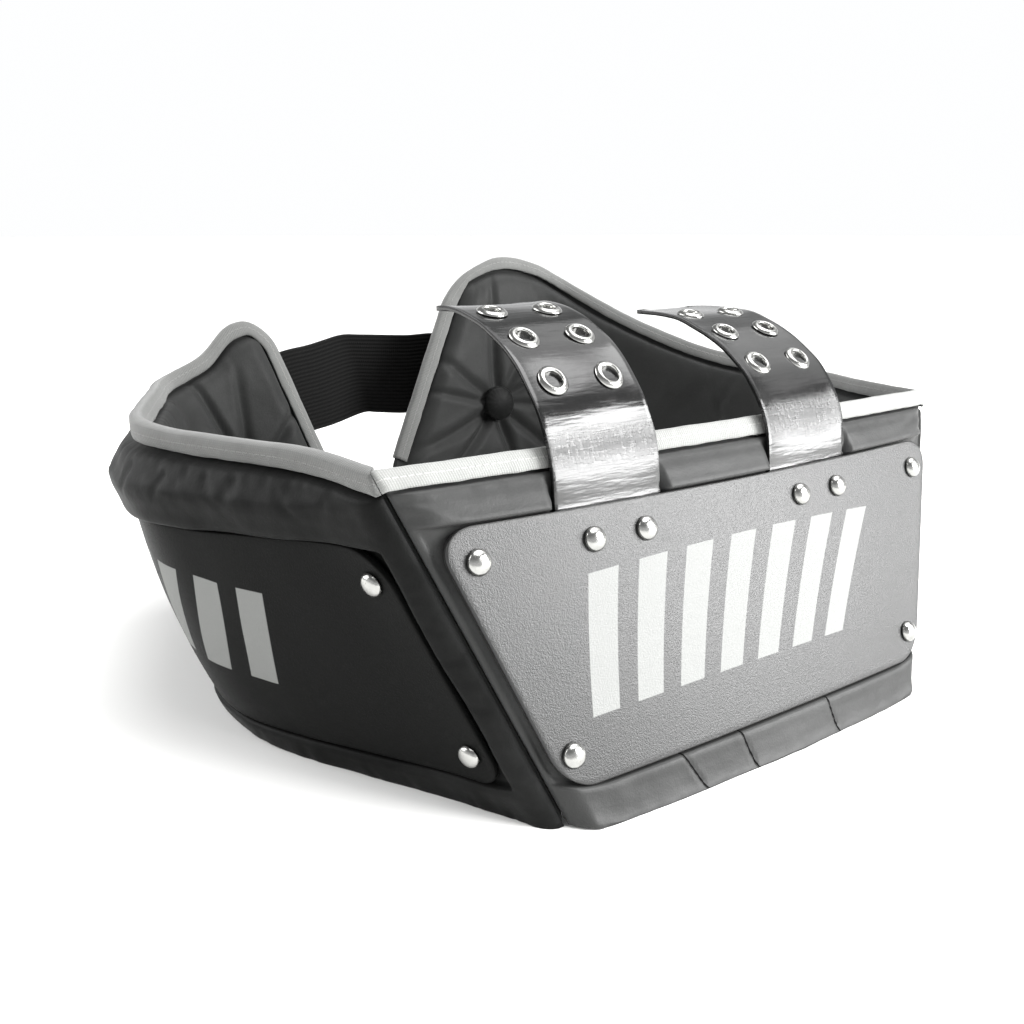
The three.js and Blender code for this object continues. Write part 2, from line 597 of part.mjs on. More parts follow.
// Straps, each swept along its own lean from the tuck behind the back plate
function strapPath(leanRows) {
  const edge = onSheet(back, 0.5, 1).sub(onSheet(back, 0.5, 0));
  const seated = Math.atan2(edge.y, edge.z);
  const step = strapFree / strapSteps;
  const points = [{ s: 0, y: 0, z: 0, lean: seated }];
  for (let i = 1; i <= strapSteps; i++) {
    const s = i * step;
    const lean = THREE.MathUtils.degToRad(between(leanRows, (s - step / 2) / strapFree, "lean"));
    const last = points[points.length - 1];
    points.push({ s, y: last.y + step * Math.sin(lean), z: last.z + step * Math.cos(lean), lean });
  }
  for (const s of [-strapTuck / 2, -strapTuck]) {
    points.unshift({ s, y: s * Math.sin(seated), z: s * Math.cos(seated), lean: seated });
  }
  return points;
}
function strapPlace(path, s) {
  const after = Math.max(path.findIndex((at) => at.s >= s), 1);
  const [a, b] = [path[after - 1], path[after]];
  const share = (s - a.s) / (b.s - a.s);
  const mix = (column) => THREE.MathUtils.lerp(a[column], b[column], share);
  return { y: mix("y"), z: mix("z"), lean: mix("lean") };
}
// The run at which the back panel has a given x at a rise
function backRunAt(x, rise) {
  return 0.5 + x / (2 * THREE.MathUtils.lerp(backFootHalf, backRimHalf, rise));
}
function strapStart(x) {
  const { high } = backPlateEdges(0.5);
  return skin(back, backRunAt(x, high), high, strapSeat + strapThick / 2);
}
// A point of a strap: x across the ring, s along the strap, off its middle by depth
function onStrap(path, x, s, depth) {
  const at = strapPlace(path, s);
  const start = strapStart(x);
  return new THREE.Vector3(
    start.x,
    start.y + at.y - depth * Math.cos(at.lean),
    start.z + at.z + depth * Math.sin(at.lean),
  );
}
// A strap, or with clear above 0 the room that it takes up to a length
function strapGeometry(path, centre, clear = 0, upTo = strapFree) {
  const depth = strapThick / 2 + clear;
  const rounded = [0.13, 0.33].map((share) => strapFree - share * strapCorner);
  const stations = [...path.map((at) => at.s), ...rounded].filter((s) => s <= upTo);
  stations[0] -= clear;
  const rings = stations.sort((a, b) => a - b).map((s) => {
    const near = Math.max(strapCorner - (strapFree - s), 0);
    const half = strapWidth / 2 + clear - (strapCorner - Math.sqrt(strapCorner ** 2 - near ** 2));
    const xs = [-1, 0, 1].map((share) => centre + share * half);
    const side = (off) => xs.map((x) => onStrap(path, x, s, off));
    return [...side(depth), ...side(-depth).reverse()];
  });
  return loft(rings);
}
function eyeletPlaces(centre) {
  const places = [];
  for (let row = 0; row < eyeletRows; row++) {
    for (const side of [-0.5, 0.5]) {
      places.push({ x: centre + side * eyeletSpread, s: eyeletFirst + row * eyeletPitch });
    }
  }
  return places;
}
// The strap's outward direction at s
function strapOut(path, s) {
  const { lean } = strapPlace(path, s);
  return new THREE.Vector3(0, -Math.cos(lean), Math.sin(lean));
}
function pinAt(point, axis, radius, length) {
  const pin = new THREE.CylinderGeometry(radius, radius, length, 10);
  pin.applyQuaternion(new THREE.Quaternion().setFromUnitVectors(new THREE.Vector3(0, 1, 0), axis));
  return solidOf(pin.translate(point.x, point.y, point.z));
}
// An eyelet clenched round the strap, its axis along +Y
function eyeletGeometry() {
  const inside = strapThick / 2 + eyeletSeat;
  const outside = inside + eyeletFlange;
  const barrel = eyeletHole + eyeletWall;
  const half = [[eyeletHole, outside], [eyeletOuter, inside], [barrel, inside]];
  const points = [...half, ...[...half].reverse().map(([r, y]) => [r, -y])];
  const profile = [...points, points[0]].map(([r, y]) => new THREE.Vector2(r, y));
  return facingOut(mergeVertices(stripped(new THREE.LatheGeometry(profile, 12)), 1e-4));
}
function stripped(geometry) {
  geometry.deleteAttribute("normal");
  geometry.deleteAttribute("uv");
  return geometry;
}

const straps = [
  { name: "left_strap", side: "left", centre: strapSide - strapSpacing / 2, path: strapPath(leftLean) },
  { name: "right_strap", side: "right", centre: strapSide + strapSpacing / 2, path: strapPath(rightLean) },
];

// Rivets: on each plate's corners, and a pair through each strap
const rivetHole = rivetShank + seatGap;
function cornerRivets(panel, ends, edges, names) {
  const places = [];
  for (const [top, run] of [[0, ends[0]], [0, ends[1]], [1, ends[0]], [1, ends[1]]]) {
    const at = run + asRun(panel, rivetEndInset) * (run === ends[0] ? 1 : -1);
    const inset = rivetInset / heightAt(panel, at);
    places.push({ run: at, rise: top ? edges(at).high - inset : edges(at).low + inset });
  }
  return places.map((place, i) => ({ name: names[i], panel, ...place, deep: plateThick + seatGap }));
}
const backRivets = cornerRivets(back, backPlateRuns, backPlateEdges, [
  "back_rivet_low_left",
  "back_rivet_low_right",
  "back_rivet_top_left",
  "back_rivet_top_right",
]);
for (const strap of straps) {
  for (const [i, offset] of [-rivetPairSpread / 2, rivetPairSpread / 2].entries()) {
    const rise = backPlateEdges(0.5).high - rivetPairDrop / heightAt(back, 0.5);
    const run = backRunAt(strap.centre + offset, rise);
    const deep = plateThick + 2 * seatGap + strapThick;
    backRivets.push({ name: `${strap.side}_strap_rivet_${i + 1}`, panel: back, run, rise, deep, strap });
  }
}
const sideNames = (side, flip) => {
  const [near, far] = flip ? ["front", "rear"] : ["rear", "front"];
  return [`${side}_rivet_low_${near}`, `${side}_rivet_low_${far}`, `${side}_rivet_top_${near}`, `${side}_rivet_top_${far}`];
};
const leftRivets = cornerRivets(left, leftPlateRuns, leftPlateEdges, sideNames("left", true));
const rightRivets = cornerRivets(right, rightPlateRuns, rightPlateEdges, sideNames("right", false));
const holesOf = (rivets) => rivets.map((at) => drill(at.panel, at.run, at.rise, rivetHole));

// Pads. The back pad gives way to the straps' tucked ends.
const leftTuftAt = { run: leftRun(leftTuft.run), rise: leftTuft.rise };
const rightTuftAt = { run: rightRun(rightTuft.run), rise: rightTuft.rise };
const backSeams = [
  { panel: back, run: 0, next: left, nextRun: 1, away: 1 },
  { panel: back, run: 1, next: right, nextRun: 0, away: -1 },
];
const leftSeams = [{ panel: left, run: 1, next: back, nextRun: 0, away: -1 }];
const rightSeams = [{ panel: right, run: 0, next: back, nextRun: 1, away: 1 }];
const backRuns = spread(back, 8, backPlateRuns);
const leftRuns = spread(left, 23, leftPlateRuns, "start");
const rightRuns = spread(right, 23, rightPlateRuns, "end");
const backOptions = { plateRuns: backPlateRuns, plateEdges: backPlateEdges, outColumn: "backOut" };
let backSolid = standing(mitred(solidOf(padGeometry(back, backRuns, backOptions)), backSeams));
for (const { path, centre } of straps) {
  backSolid = backSolid.subtract(solidOf(strapGeometry(path, centre, seatGap, strapTuck)));
}
for (const { panel, run, rise } of backRivets.filter((at) => at.strap)) {
  backSolid = backSolid.subtract(drill(panel, run, rise, rivetHole));
}
add("back_pad", geometryOf(backSolid), cover);
const leftOptions = { openEnd: "start", tuft: leftTuftAt, plateRuns: leftPlateRuns, plateEdges: leftPlateEdges, outColumn: "out" };
add("left_pad", geometryOf(standing(mitred(solidOf(padGeometry(left, leftRuns, leftOptions)), leftSeams))), cover);
const rightOptions = { openEnd: "end", tuft: rightTuftAt, plateRuns: rightPlateRuns, plateEdges: rightPlateEdges, outColumn: "out" };
add(
  "right_pad",
  geometryOf(standing(mitred(solidOf(padGeometry(right, rightRuns, rightOptions)), rightSeams))),
  cover,
);

// Bindings
const rimPath = backRuns.map((run) => ({ run, rise: 1, alongOff: 0, upOff: 1 }));
const bound = (panel, path, seams) => geometryOf(mitred(solidOf(bindingGeometry(panel, path)), seams));
add("back_binding", bound(back, rimPath, backSeams), tape);
add("left_binding", bound(left, flapPath(left, leftRuns, leftRun, -1), leftSeams), tape);
add("right_binding", bound(right, flapPath(right, rightRuns, rightRun, 1), rightSeams), tape);

// Plates
add("back_plate", drilled(plateGeometry(back, backRuns, backPlateRuns, backPlateEdges), holesOf(backRivets)), shell);
add("left_plate", drilled(plateGeometry(left, leftRuns, leftPlateRuns, leftPlateEdges), holesOf(leftRivets)), shell);
add("right_plate", drilled(plateGeometry(right, rightRuns, rightPlateRuns, rightPlateEdges), holesOf(rightRivets)), shell);

// Straps and their eyelets
const eyelet = eyeletGeometry();
for (const { name, side, centre, path } of straps) {
  const places = eyeletPlaces(centre);
  const barrelHole = eyeletHole + eyeletWall + seatGap;
  const pins = places.map(({ x, s }) => pinAt(onStrap(path, x, s, 0), strapOut(path, s), barrelHole, 3 * (strapThick + eyeletSeat)));
  pins.push(...holesOf(backRivets.filter((at) => at.strap && at.strap.name === name)));
  add(name, drilled(strapGeometry(path, centre), pins), vinyl);
  for (const [i, { x, s }] of places.entries()) {
    const mesh = add(`${side}_eyelet_${i + 1}`, eyelet, nickel);
    mesh.quaternion.setFromUnitVectors(new THREE.Vector3(0, 1, 0), strapOut(path, s));
    mesh.position.copy(onStrap(path, x, s, 0));
  }
}

// The belt, sewn on the outside of both flaps
const onFlap = puffOut + foldDepth + seatGap;
function beltEnd(panel, toRun, span) {
  return [0, 0.5, 1].map((share) => {
    const run = toRun(THREE.MathUtils.lerp(span.from, span.to, share));
    const half = beltWidth / 2 / heightAt(panel, run);
    const row = [1, 0.5, 0, -0.5, -1].map((up) => skin(panel, run, span.rise + up * half, onFlap));
    return { row, out: outward(panel, run, span.rise) };
  });
}
const beltMiddle = beltRows.map(({ x, y, z, slant }) => {
  const point = new THREE.Vector3(x * ringHalfWidth, y * ringDepth, z * sideHeight);
  const row = [1, 0.5, 0, -0.5, -1].map((up) => {
    return point.clone().add(new THREE.Vector3((-up * slant * beltWidth) / 2, 0, (up * beltWidth) / 2));
  });
  return { row, out: new THREE.Vector3(0, 1, 0) };
});
const beltStations = [...beltEnd(left, leftRun, beltLeft), ...beltMiddle, ...beltEnd(right, rightRun, beltRight)];
const beltRings = beltStations.map(({ row, out }) => {
  return [...row, ...[...row].reverse().map((point) => point.clone().addScaledVector(out, beltThick))];
});
add("front_belt", loft(beltRings), elastic);

// Rivets
for (const { name, panel, run, rise, deep } of [...backRivets, ...leftRivets, ...rightRivets]) {
  const mesh = add(name, rivetGeometry(rivetHead, rivetDome, rivetShank, deep), nickel);
  stand(mesh, panel, run, rise, plateFace + headRest + climbAt(panel, run, rise));
}

// Buttons, seated in the dents on the body's side of the flaps
for (const [name, panel, tuft] of [["left_button", left, leftTuftAt], ["right_button", right, rightTuftAt]]) {
  const edge = tufted(panel, tuft, tuft.run + asRun(panel, buttonRadius), tuft.rise);
  const seat = -(puffIn * edge.left + foldDepth + buttonRest);
  const mesh = add(name, rivetGeometry(buttonRadius, buttonDome, rivetShank, 1), cover);
  stand(mesh, panel, tuft.run, tuft.rise, seat, -1);
}

// The origin is the middle of the base
root.updateMatrixWorld(true);
const middle = new THREE.Box3().setFromObject(root).getCenter(new THREE.Vector3());
root.position.set(-middle.x, -middle.y, 0);
root.updateMatrixWorld(true);
export default root;
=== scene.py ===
import math
import random

import bmesh
import bpy
import numpy as np
from mathutils import Matrix, Vector


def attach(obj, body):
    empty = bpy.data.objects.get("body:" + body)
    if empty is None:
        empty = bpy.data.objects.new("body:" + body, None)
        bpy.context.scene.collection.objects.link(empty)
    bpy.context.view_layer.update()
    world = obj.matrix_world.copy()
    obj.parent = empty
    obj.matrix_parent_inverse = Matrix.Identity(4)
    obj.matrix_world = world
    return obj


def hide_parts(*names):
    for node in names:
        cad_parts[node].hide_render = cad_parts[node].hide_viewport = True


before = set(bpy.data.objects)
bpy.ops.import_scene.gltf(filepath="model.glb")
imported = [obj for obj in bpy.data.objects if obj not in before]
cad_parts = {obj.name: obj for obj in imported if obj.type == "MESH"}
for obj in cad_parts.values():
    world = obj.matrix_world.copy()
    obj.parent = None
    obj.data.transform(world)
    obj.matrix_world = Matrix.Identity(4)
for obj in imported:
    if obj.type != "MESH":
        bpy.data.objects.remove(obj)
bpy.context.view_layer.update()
print("stage: frame loaded")

# the sheets that everything is set on, with the part's sizes in mm;
# x is a share of halfWidth, y of depth and z of sideHeight
ring = {
    "halfWidth": 177,
    "depth": 262,
    "padHeight": 113,
    "sideHeight": 115,
    "backRimHalf": 133.5,
    "backFootHalf": 89.5,
    "backFootSet": 24.3,
    "backRimSet": 13,
    "backBow": 3,
    "sideBulge": 7,
    "shift": (-2.543, -126.733, 0),  # from the sheets' own place to the frame
    # footX, footY, footZ, rimX, rimY, rimZ from the rear seam to the front flap
    "left": [
        (0.556, 0.005, 0, 0.795, 0.164, 1),
        (0.636, 0.116, 0, 0.866, 0.279, 1),
        (0.721, 0.228, 0, 0.93, 0.382, 1),
        (0.78, 0.329, 0, 0.96, 0.447, 1.009),
        (0.793, 0.422, 0, 0.945, 0.508, 1.009),
        (0.749, 0.549, 0, 0.885, 0.622, 1),
        (0.654, 0.721, 0.02, 0.78, 0.805, 0.986),
        (0.566, 0.851, 0.055, 0.695, 0.947, 0.977),
        (0.472, 0.899, 0.105, 0.565, 0.981, 1.052),
        (0.339, 0.919, 0.165, 0.475, 0.996, 1.164),
        (0.168, 0.927, 0.24, 0.375, 1, 1.188),
    ],
    "right": [
        (0.56, 0.005, 0, 0.814, 0.164, 0.974),
        (0.639, 0.116, 0, 0.898, 0.279, 0.965),
        (0.718, 0.227, 0, 0.972, 0.382, 0.957),
        (0.777, 0.328, 0, 1, 0.447, 0.957),
        (0.792, 0.427, 0.02, 0.977, 0.511, 0.965),
        (0.752, 0.559, 0.065, 0.904, 0.63, 1.009),
        (0.664, 0.724, 0.12, 0.802, 0.802, 1.141),
        (0.569, 0.862, 0.175, 0.684, 0.954, 1.322),
        (0.451, 0.907, 0.215, 0.588, 0.989, 1.404),
        (0.261, 0.927, 0.265, 0.455, 1, 1.432),
        (-0.035, 0.931, 0.39, 0.282, 1, 1.329),
    ],
}


def span(p0, p1, p2, p3, least=1e-9):
    # centripetal spline from p1 to p2, a function of the share between them
    reach = lambda a, b: np.maximum(np.linalg.norm(b - a, axis=-1, keepdims=True), least) ** 0.5
    d0, d1, d2 = reach(p0, p1), reach(p1, p2), reach(p2, p3)
    t1 = ((p1 - p0) / d0 - (p2 - p0) / (d0 + d1) + (p2 - p1) / d1) * d1
    t2 = ((p2 - p1) / d1 - (p3 - p1) / (d1 + d2) + (p3 - p2) / d2) * d1
    square, cube = 3 * (p2 - p1) - 2 * t1 - t2, 2 * (p1 - p2) + t1 + t2
    return lambda w: p1 + t1 * w + square * w**2 + cube * w**3


def splineAt(points, t):
    # through all the points, t from 0 to 1
    p = np.asarray(points, float)
    p = np.vstack([2 * p[0] - p[1], p, 2 * p[-1] - p[-2]])
    s = np.clip(np.asarray(t) * (len(points) - 1), 0, len(points) - 1 - 1e-9)
    i = np.floor(s).astype(int)
    w = (s - i)[:, None]
    return span(p[i], p[i + 1], p[i + 2], p[i + 3])(w)


def walkedAlong(line):
    return np.concatenate([[0], np.cumsum(np.linalg.norm(np.diff(line, axis=0), axis=1))])


def unit(v):
    return v / np.maximum(np.linalg.norm(v, axis=-1, keepdims=True), 1e-12)


class Panel:
    # the sewn sheet between a foot line and a rim line; run goes along it, rise up it, depth off it
    def __init__(self, feet, rims, bulge=0):
        t = np.linspace(0, 1, 1601)
        self.foot, self.rim, self.bulge = splineAt(feet, t), splineAt(rims, t), bulge
        lengths = walkedAlong((self.foot + self.rim) / 2)
        self.length = lengths[-1]
        self.runs = lengths / self.length

    def line(self, edge, run):
        return np.stack([np.interp(run, self.runs, edge[:, k]) for k in range(3)], -1)

    def sheet(self, run, rise):
        run, rise = np.broadcast_arrays(np.asarray(run, float), np.asarray(rise, float))
        foot = self.line(self.foot, run)
        return foot + (self.line(self.rim, run) - foot) * rise[..., None]

    def up(self, run):
        return self.line(self.rim, run) - self.line(self.foot, run)

    def height(self, run):
        return np.linalg.norm(self.up(run), axis=-1)

    def outward(self, run, rise):
        run, rise = np.broadcast_arrays(np.asarray(run, float), np.asarray(rise, float))
        along = self.sheet(run + 0.004, rise) - self.sheet(run - 0.004, rise)
        return unit(np.cross(along, self.up(run)))

    def skin(self, run, rise, depth):
        run, rise, depth = np.broadcast_arrays(*(np.asarray(v, float) for v in (run, rise, depth)))
        off = depth + self.bulge * 4 * rise * (1 - rise) * np.sin(np.pi * np.clip(run, 0, 1))
        return self.sheet(run, rise) + self.outward(run, rise) * off[..., None]


def sidePanel(rows, sign):
    rows = rows[::-1] if sign < 0 else rows
    size = np.array([sign * ring["halfWidth"], ring["depth"], ring["sideHeight"]])
    feet = [np.array(row[:3]) * size for row in rows]
    rims = [np.array(row[3:]) * size for row in rows]
    seamFoot = np.array([sign * ring["backFootHalf"], -ring["backFootSet"], 0])
    seamRim = np.array([sign * ring["backRimHalf"], ring["backRimSet"], ring["padHeight"]])
    if sign < 0:
        return Panel(feet + [seamFoot], rims + [seamRim], ring["sideBulge"])
    return Panel([seamFoot] + feet, [seamRim] + rims, ring["sideBulge"])


def backPanel():
    feet, rims = [], []
    for x in (-1, -0.5, 0, 0.5, 1):
        bow = ring["backBow"] * (1 - x * x)
        feet.append((x * ring["backFootHalf"], -ring["backFootSet"] - bow, 0))
        rims.append((x * ring["backRimHalf"], ring["backRimSet"] - bow, ring["padHeight"]))
    return Panel(feet, rims)


back = backPanel()
left = sidePanel(ring["left"], -1)
right = sidePanel(ring["right"], 1)
leftRun = lambda run: 1 - run  # a run counted from the rear seam
rightRun = lambda run: run


def toFrame(points):
    return (np.asarray(points).reshape(-1, 3) + np.array(ring["shift"])) * 0.001


def addObject(name, data, place=(0, 0, 0), turn=(0, 0, 0)):
    added = bpy.data.objects.new(name, data)
    added.location, added.rotation_euler = place, turn
    bpy.context.scene.collection.objects.link(added)
    return added


def meshPiece(name, vertices, faces, uv=None):
    mesh = bpy.data.meshes.new(name)
    mesh.from_pydata([tuple(v) for v in vertices], [], faces)
    if uv is not None:
        layer = mesh.uv_layers.new(name="lay")
        layer.data.foreach_set("uv", np.asarray(uv, np.float32).ravel())
    mesh.polygons.foreach_set("use_smooth", [True] * len(mesh.polygons))
    return addObject(name, mesh)


def gridPiece(name, points, uv, panelOut=None):
    # an n by m grid of points and their lay in mm; an open sheet says which way is out,
    # any other grid is a tube with capped ends, and its uv has one column more
    n, m = points.shape[:2]
    i, j = np.meshgrid(np.arange(n - 1), np.arange(m if panelOut is None else m - 1), indexing="ij")
    i, j = i.ravel(), j.ravel()
    k = (j + 1) % m
    uv = uv * 0.001
    faces = np.stack([i * m + j, i * m + k, (i + 1) * m + k, (i + 1) * m + j], 1).tolist()
    corners = np.stack([uv[i, j], uv[i, j + 1], uv[i + 1, j + 1], uv[i + 1, j]], 1)
    if panelOut is None:
        faces += [list(range(m))[::-1], [(n - 1) * m + c for c in range(m)]]
        corners = np.concatenate([corners.reshape(-1, 2), uv[0, :m][::-1], uv[-1, :m]])
    return faceOutward(meshPiece(name, toFrame(points), faces, corners), panelOut)


def faceOutward(piece, panelOut):
    # tubes turn by their volume, open sheets by a direction
    work = bmesh.new()
    work.from_mesh(piece.data)
    bmesh.ops.recalc_face_normals(work, faces=work.faces)
    if panelOut is None:
        turned = work.calc_volume(signed=True) < 0
    else:
        mean = sum((f.normal * f.calc_area() for f in work.faces), Vector())
        turned = mean.dot(Vector(panelOut)) < 0
    if turned:
        bmesh.ops.reverse_faces(work, faces=work.faces)
    work.to_mesh(piece.data)
    work.free()
    return piece


def bevelEdges(piece, width, segments):
    # rounds the sharp edges and applies the piece's modifiers
    bevel = piece.modifiers.new("edge", "BEVEL")
    bevel.width, bevel.segments, bevel.limit_method = width * 0.001, segments, "ANGLE"
    bevel.angle_limit = math.radians(50)
    bpy.context.view_layer.objects.active = piece
    for modifier in list(piece.modifiers):
        with bpy.context.temp_override(object=piece, active_object=piece):
            bpy.ops.object.modifier_apply(modifier=modifier.name)


def lathePiece(name, profile, turns=48):
    # profile holds radius and height in mm; the piece stands on the origin along +Z
    angle = np.linspace(0, 2 * math.pi, turns, endpoint=False)
    r, z = np.array(profile, float).T
    around = np.cos(angle), np.sin(angle), np.ones(turns)
    grid = np.stack([np.outer(*pair) for pair in zip(around, (r, r, z))], -1)
    m = len(profile)
    faces = []
    for a in range(turns):
        b = (a + 1) % turns
        faces += [[a * m + c, b * m + c, b * m + c + 1, a * m + c + 1] for c in range(m - 1)]
    piece = meshPiece(name, grid.reshape(-1, 3) * 0.001, faces)
    work = bmesh.new()
    work.from_mesh(piece.data)
    bmesh.ops.remove_doubles(work, verts=work.verts, dist=1e-7)
    bmesh.ops.recalc_face_normals(work, faces=work.faces)
    work.to_mesh(piece.data)
    work.free()
    return piece


def standOn(piece, point, axis, spin=0):
    # a lathed piece is set down in its mesh, so its object stays at the origin
    turn = Vector((0, 0, 1)).rotation_difference(Vector(axis)).to_matrix().to_4x4()
    place = Matrix.Translation(Vector(toFrame(point)[0]))
    piece.data.transform(place @ turn @ Matrix.Rotation(spin, 4, "Z"))


def finishPiece(piece, material, slot, *nodes):
    piece.data.materials.clear()
    piece.data.materials.append(material)
    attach(piece, "root")
    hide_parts(*nodes)


class Value:
    # a socket that sums can be written with; each operator adds its Math node
    def __init__(self, paint, socket):
        self.paint, self.socket = paint, socket

    def op(self, operation, *others, clamp=False):
        settings = {"operation": operation, "use_clamp": clamp}
        return self.paint.node("ShaderNodeMath", settings, dict(enumerate((self, *others))))

    __add__ = lambda self, other: self.op("ADD", other)
    __sub__ = lambda self, other: self.op("SUBTRACT", other)
    __rsub__ = lambda self, other: (self * -1).op("ADD", other)
    __mul__ = lambda self, other: self.op("MULTIPLY", other)
    __truediv__ = lambda self, other: self.op("DIVIDE", other)
    __gt__ = lambda self, other: self.op("GREATER_THAN", other)
    __lt__ = lambda self, other: self.op("LESS_THAN", other)
    __radd__, __rmul__ = __add__, __mul__

    def clamped(self):
        return self.op("ADD", 0.0, clamp=True)

    def part(self):
        return self.op("FRACT")

    def wave(self, pitch):
        return (self * (2 * math.pi / pitch)).op("SINE")


class Paint:
    # one material and the nodes in it
    def __init__(self, name):
        self.material = bpy.data.materials.new(name)
        self.material.use_nodes = True
        self.tree = self.material.node_tree
        self.shader = self.tree.nodes["Principled BSDF"]

    def feed(self, slot, value):
        if isinstance(value, Value):
            self.tree.links.new(value.socket, slot)
        else:
            slot.default_value = value

    def node(self, kind, settings, inputs, output=0):
        node = self.tree.nodes.new(kind)
        for key, value in settings.items():
            setattr(node, key, value)
        for key, value in inputs.items():
            self.feed(node.inputs[key], value)
        return Value(self, node.outputs[output])

    def noise(self, size, detail=3, rough=0.55, where=None):
        # size is the width of a grain in mm
        where = where or self.node("ShaderNodeTexCoord", {}, {}, "Object")
        inputs = {"Vector": where, "Scale": 1000 / size, "Detail": detail, "Roughness": rough}
        return self.node("ShaderNodeTexNoise", {}, inputs)

    def lay(self):
        # lengths along and across a piece, in mm, from its own lay
        uv = self.node("ShaderNodeUVMap", {"uv_map": "lay"}, {})
        x = self.node("ShaderNodeSeparateXYZ", {}, {0: uv})
        return x * 1000, Value(self, x.socket.node.outputs[1]) * 1000

    def along(self, x, y, z=0.0):
        return self.node("ShaderNodeCombineXYZ", {}, {"X": x, "Y": y, "Z": z})

    def mix(self, factor, a, b):
        a, b = (c if isinstance(c, Value) else (*c, 1) for c in (a, b))
        return self.node("ShaderNodeMix", {"data_type": "RGBA"}, {0: factor, 6: a, 7: b}, 2)

    def bump(self, *layers):
        # heights one over the other, each with its depth in mm and its strength
        under = {}
        for height, depth, strength in layers:
            inputs = {"Height": height, "Distance": depth * 0.001, "Strength": strength, **under}
            under = {"Normal": self.node("ShaderNodeBump", {}, inputs)}
        return under["Normal"]

    def shade(self, inputs):
        for key, value in inputs.items():
            self.feed(self.shader.inputs[key], value)
        return self.material


def nylonFinish(name, tone, litLining, gloss, shineForLighting, channels=()):
    # coated nylon: tight weave, faint crumple and rubbed, slightly dusty high places
    paint = Paint(name)
    crumple = paint.noise(16, 4, 0.55)
    fine = paint.noise(3.0, 3, 0.6)
    weave = paint.noise(0.55, 1, 0.5)
    dust = (paint.noise(46, 4, 0.65) - 0.45) * 2.2
    x, y = paint.lay()
    # the wearer's side takes the lighter tone: painted light on the inner faces
    cover = paint.mix(y > 500, tone, litLining)
    colour = paint.mix(dust.clamped() * 0.3, cover, tuple(c * 2 + 0.004 for c in litLining))
    colour = paint.mix((weave * 0.35).clamped(), colour, tuple(c * 0.5 for c in tone))
    layers = [(crumple, 0.7, 0.5), (fine, 0.2, 0.5), (weave, 0.09, 0.5)]
    sewn = 0.0
    for a0, b0, a1, b1 in channels:  # stitched channels across the cover
        off = (x - (y - b0) * ((a1 - a0) / (b1 - b0)) - a0).op("ABSOLUTE")
        sewn = (1 - off / 0.7).clamped() * (y < b1) + sewn
    # the channels are also darkened in colour: painted shade in the sunk seam lines
    if channels:
        colour = paint.mix(sewn.clamped(), colour, tuple(c * 0.15 for c in tone))
        layers.append((sewn * -1, 0.9, 1.0))
    return paint.shade({
        "Base Color": colour,
        "Roughness": (fine * 0.14 + gloss - 0.07 + sewn * 0.5).clamped(),
        "Specular IOR Level": shineForLighting,
        "Sheen Weight": 0.03,
        "Sheen Roughness": 0.4,
        "Normal": paint.bump(*layers),
    })


# printed bands of bars: lengths in mm along and up each plate's sheet
# the shine differs by side: the back plate's strong shine is a painted reflection of the lamp on
# the lit back, the side plates' weak shine is painted shade
art = {
    "back": {"from": 4, "pitch": 20.5, "bars": 7, "low": 34, "high": 80, "shineForLighting": 0.56},
    "left": {"from": 110, "pitch": 19.0, "bars": 6, "low": 36, "high": 76, "shineForLighting": 0.04},
    "right": {"from": 45, "pitch": 19.0, "bars": 6, "low": 36, "high": 76, "shineForLighting": 0.04},
}
barSet = {"gap": 0.40, "lean": -0.42, "edge": 0.35}  # gap as a share of the pitch, edge in mm


def plateFinish(side):
    # pebble-grained moulded plastic, with a printed band of slanted bars
    paint, band, edge = Paint("plate_plastic_" + side), art[side], barSet["edge"]
    pebble = paint.noise(0.8, 2, 0.6)
    grain = paint.noise(0.4, 2, 0.7)
    blotch = paint.noise(60, 4, 0.6)
    scuff = paint.noise(5, 6, 0.7)
    rubbed = ((scuff - 0.6) * 6).clamped()
    x, y = paint.lay()
    step = (x + y * barSet["lean"] - band["from"]) / band["pitch"]
    share = step.part()
    soft = edge / band["pitch"]
    bar = ((share - barSet["gap"]) / soft).clamped() * ((1 - share) / soft).clamped()
    wide = (step > 0) * (step < band["bars"])
    tall = ((y - band["low"]) / edge).clamped() * ((band["high"] - y) / edge).clamped()
    worn = 1 - ((paint.noise(2.4, 5, 0.75) - 0.66) * 9).clamped() * 0.75
    ink = bar * wide * tall * worn
    tone = paint.mix(blotch, (0.005, 0.0052, 0.005), (0.0085, 0.0087, 0.0085))
    tone = paint.mix(rubbed * 0.25, tone, (0.024, 0.024, 0.023))
    tone = paint.mix(ink, tone, (0.2, 0.204, 0.198))
    return paint.shade({
        "Base Color": tone,
        "Roughness": (grain * 0.3 + 0.25 + rubbed * 0.1 + ink * 0.2).clamped(),
        "Specular IOR Level": band["shineForLighting"],
        "Normal": paint.bump((pebble, 0.14, 0.7), (grain, 0.12, 0.7)),
    })


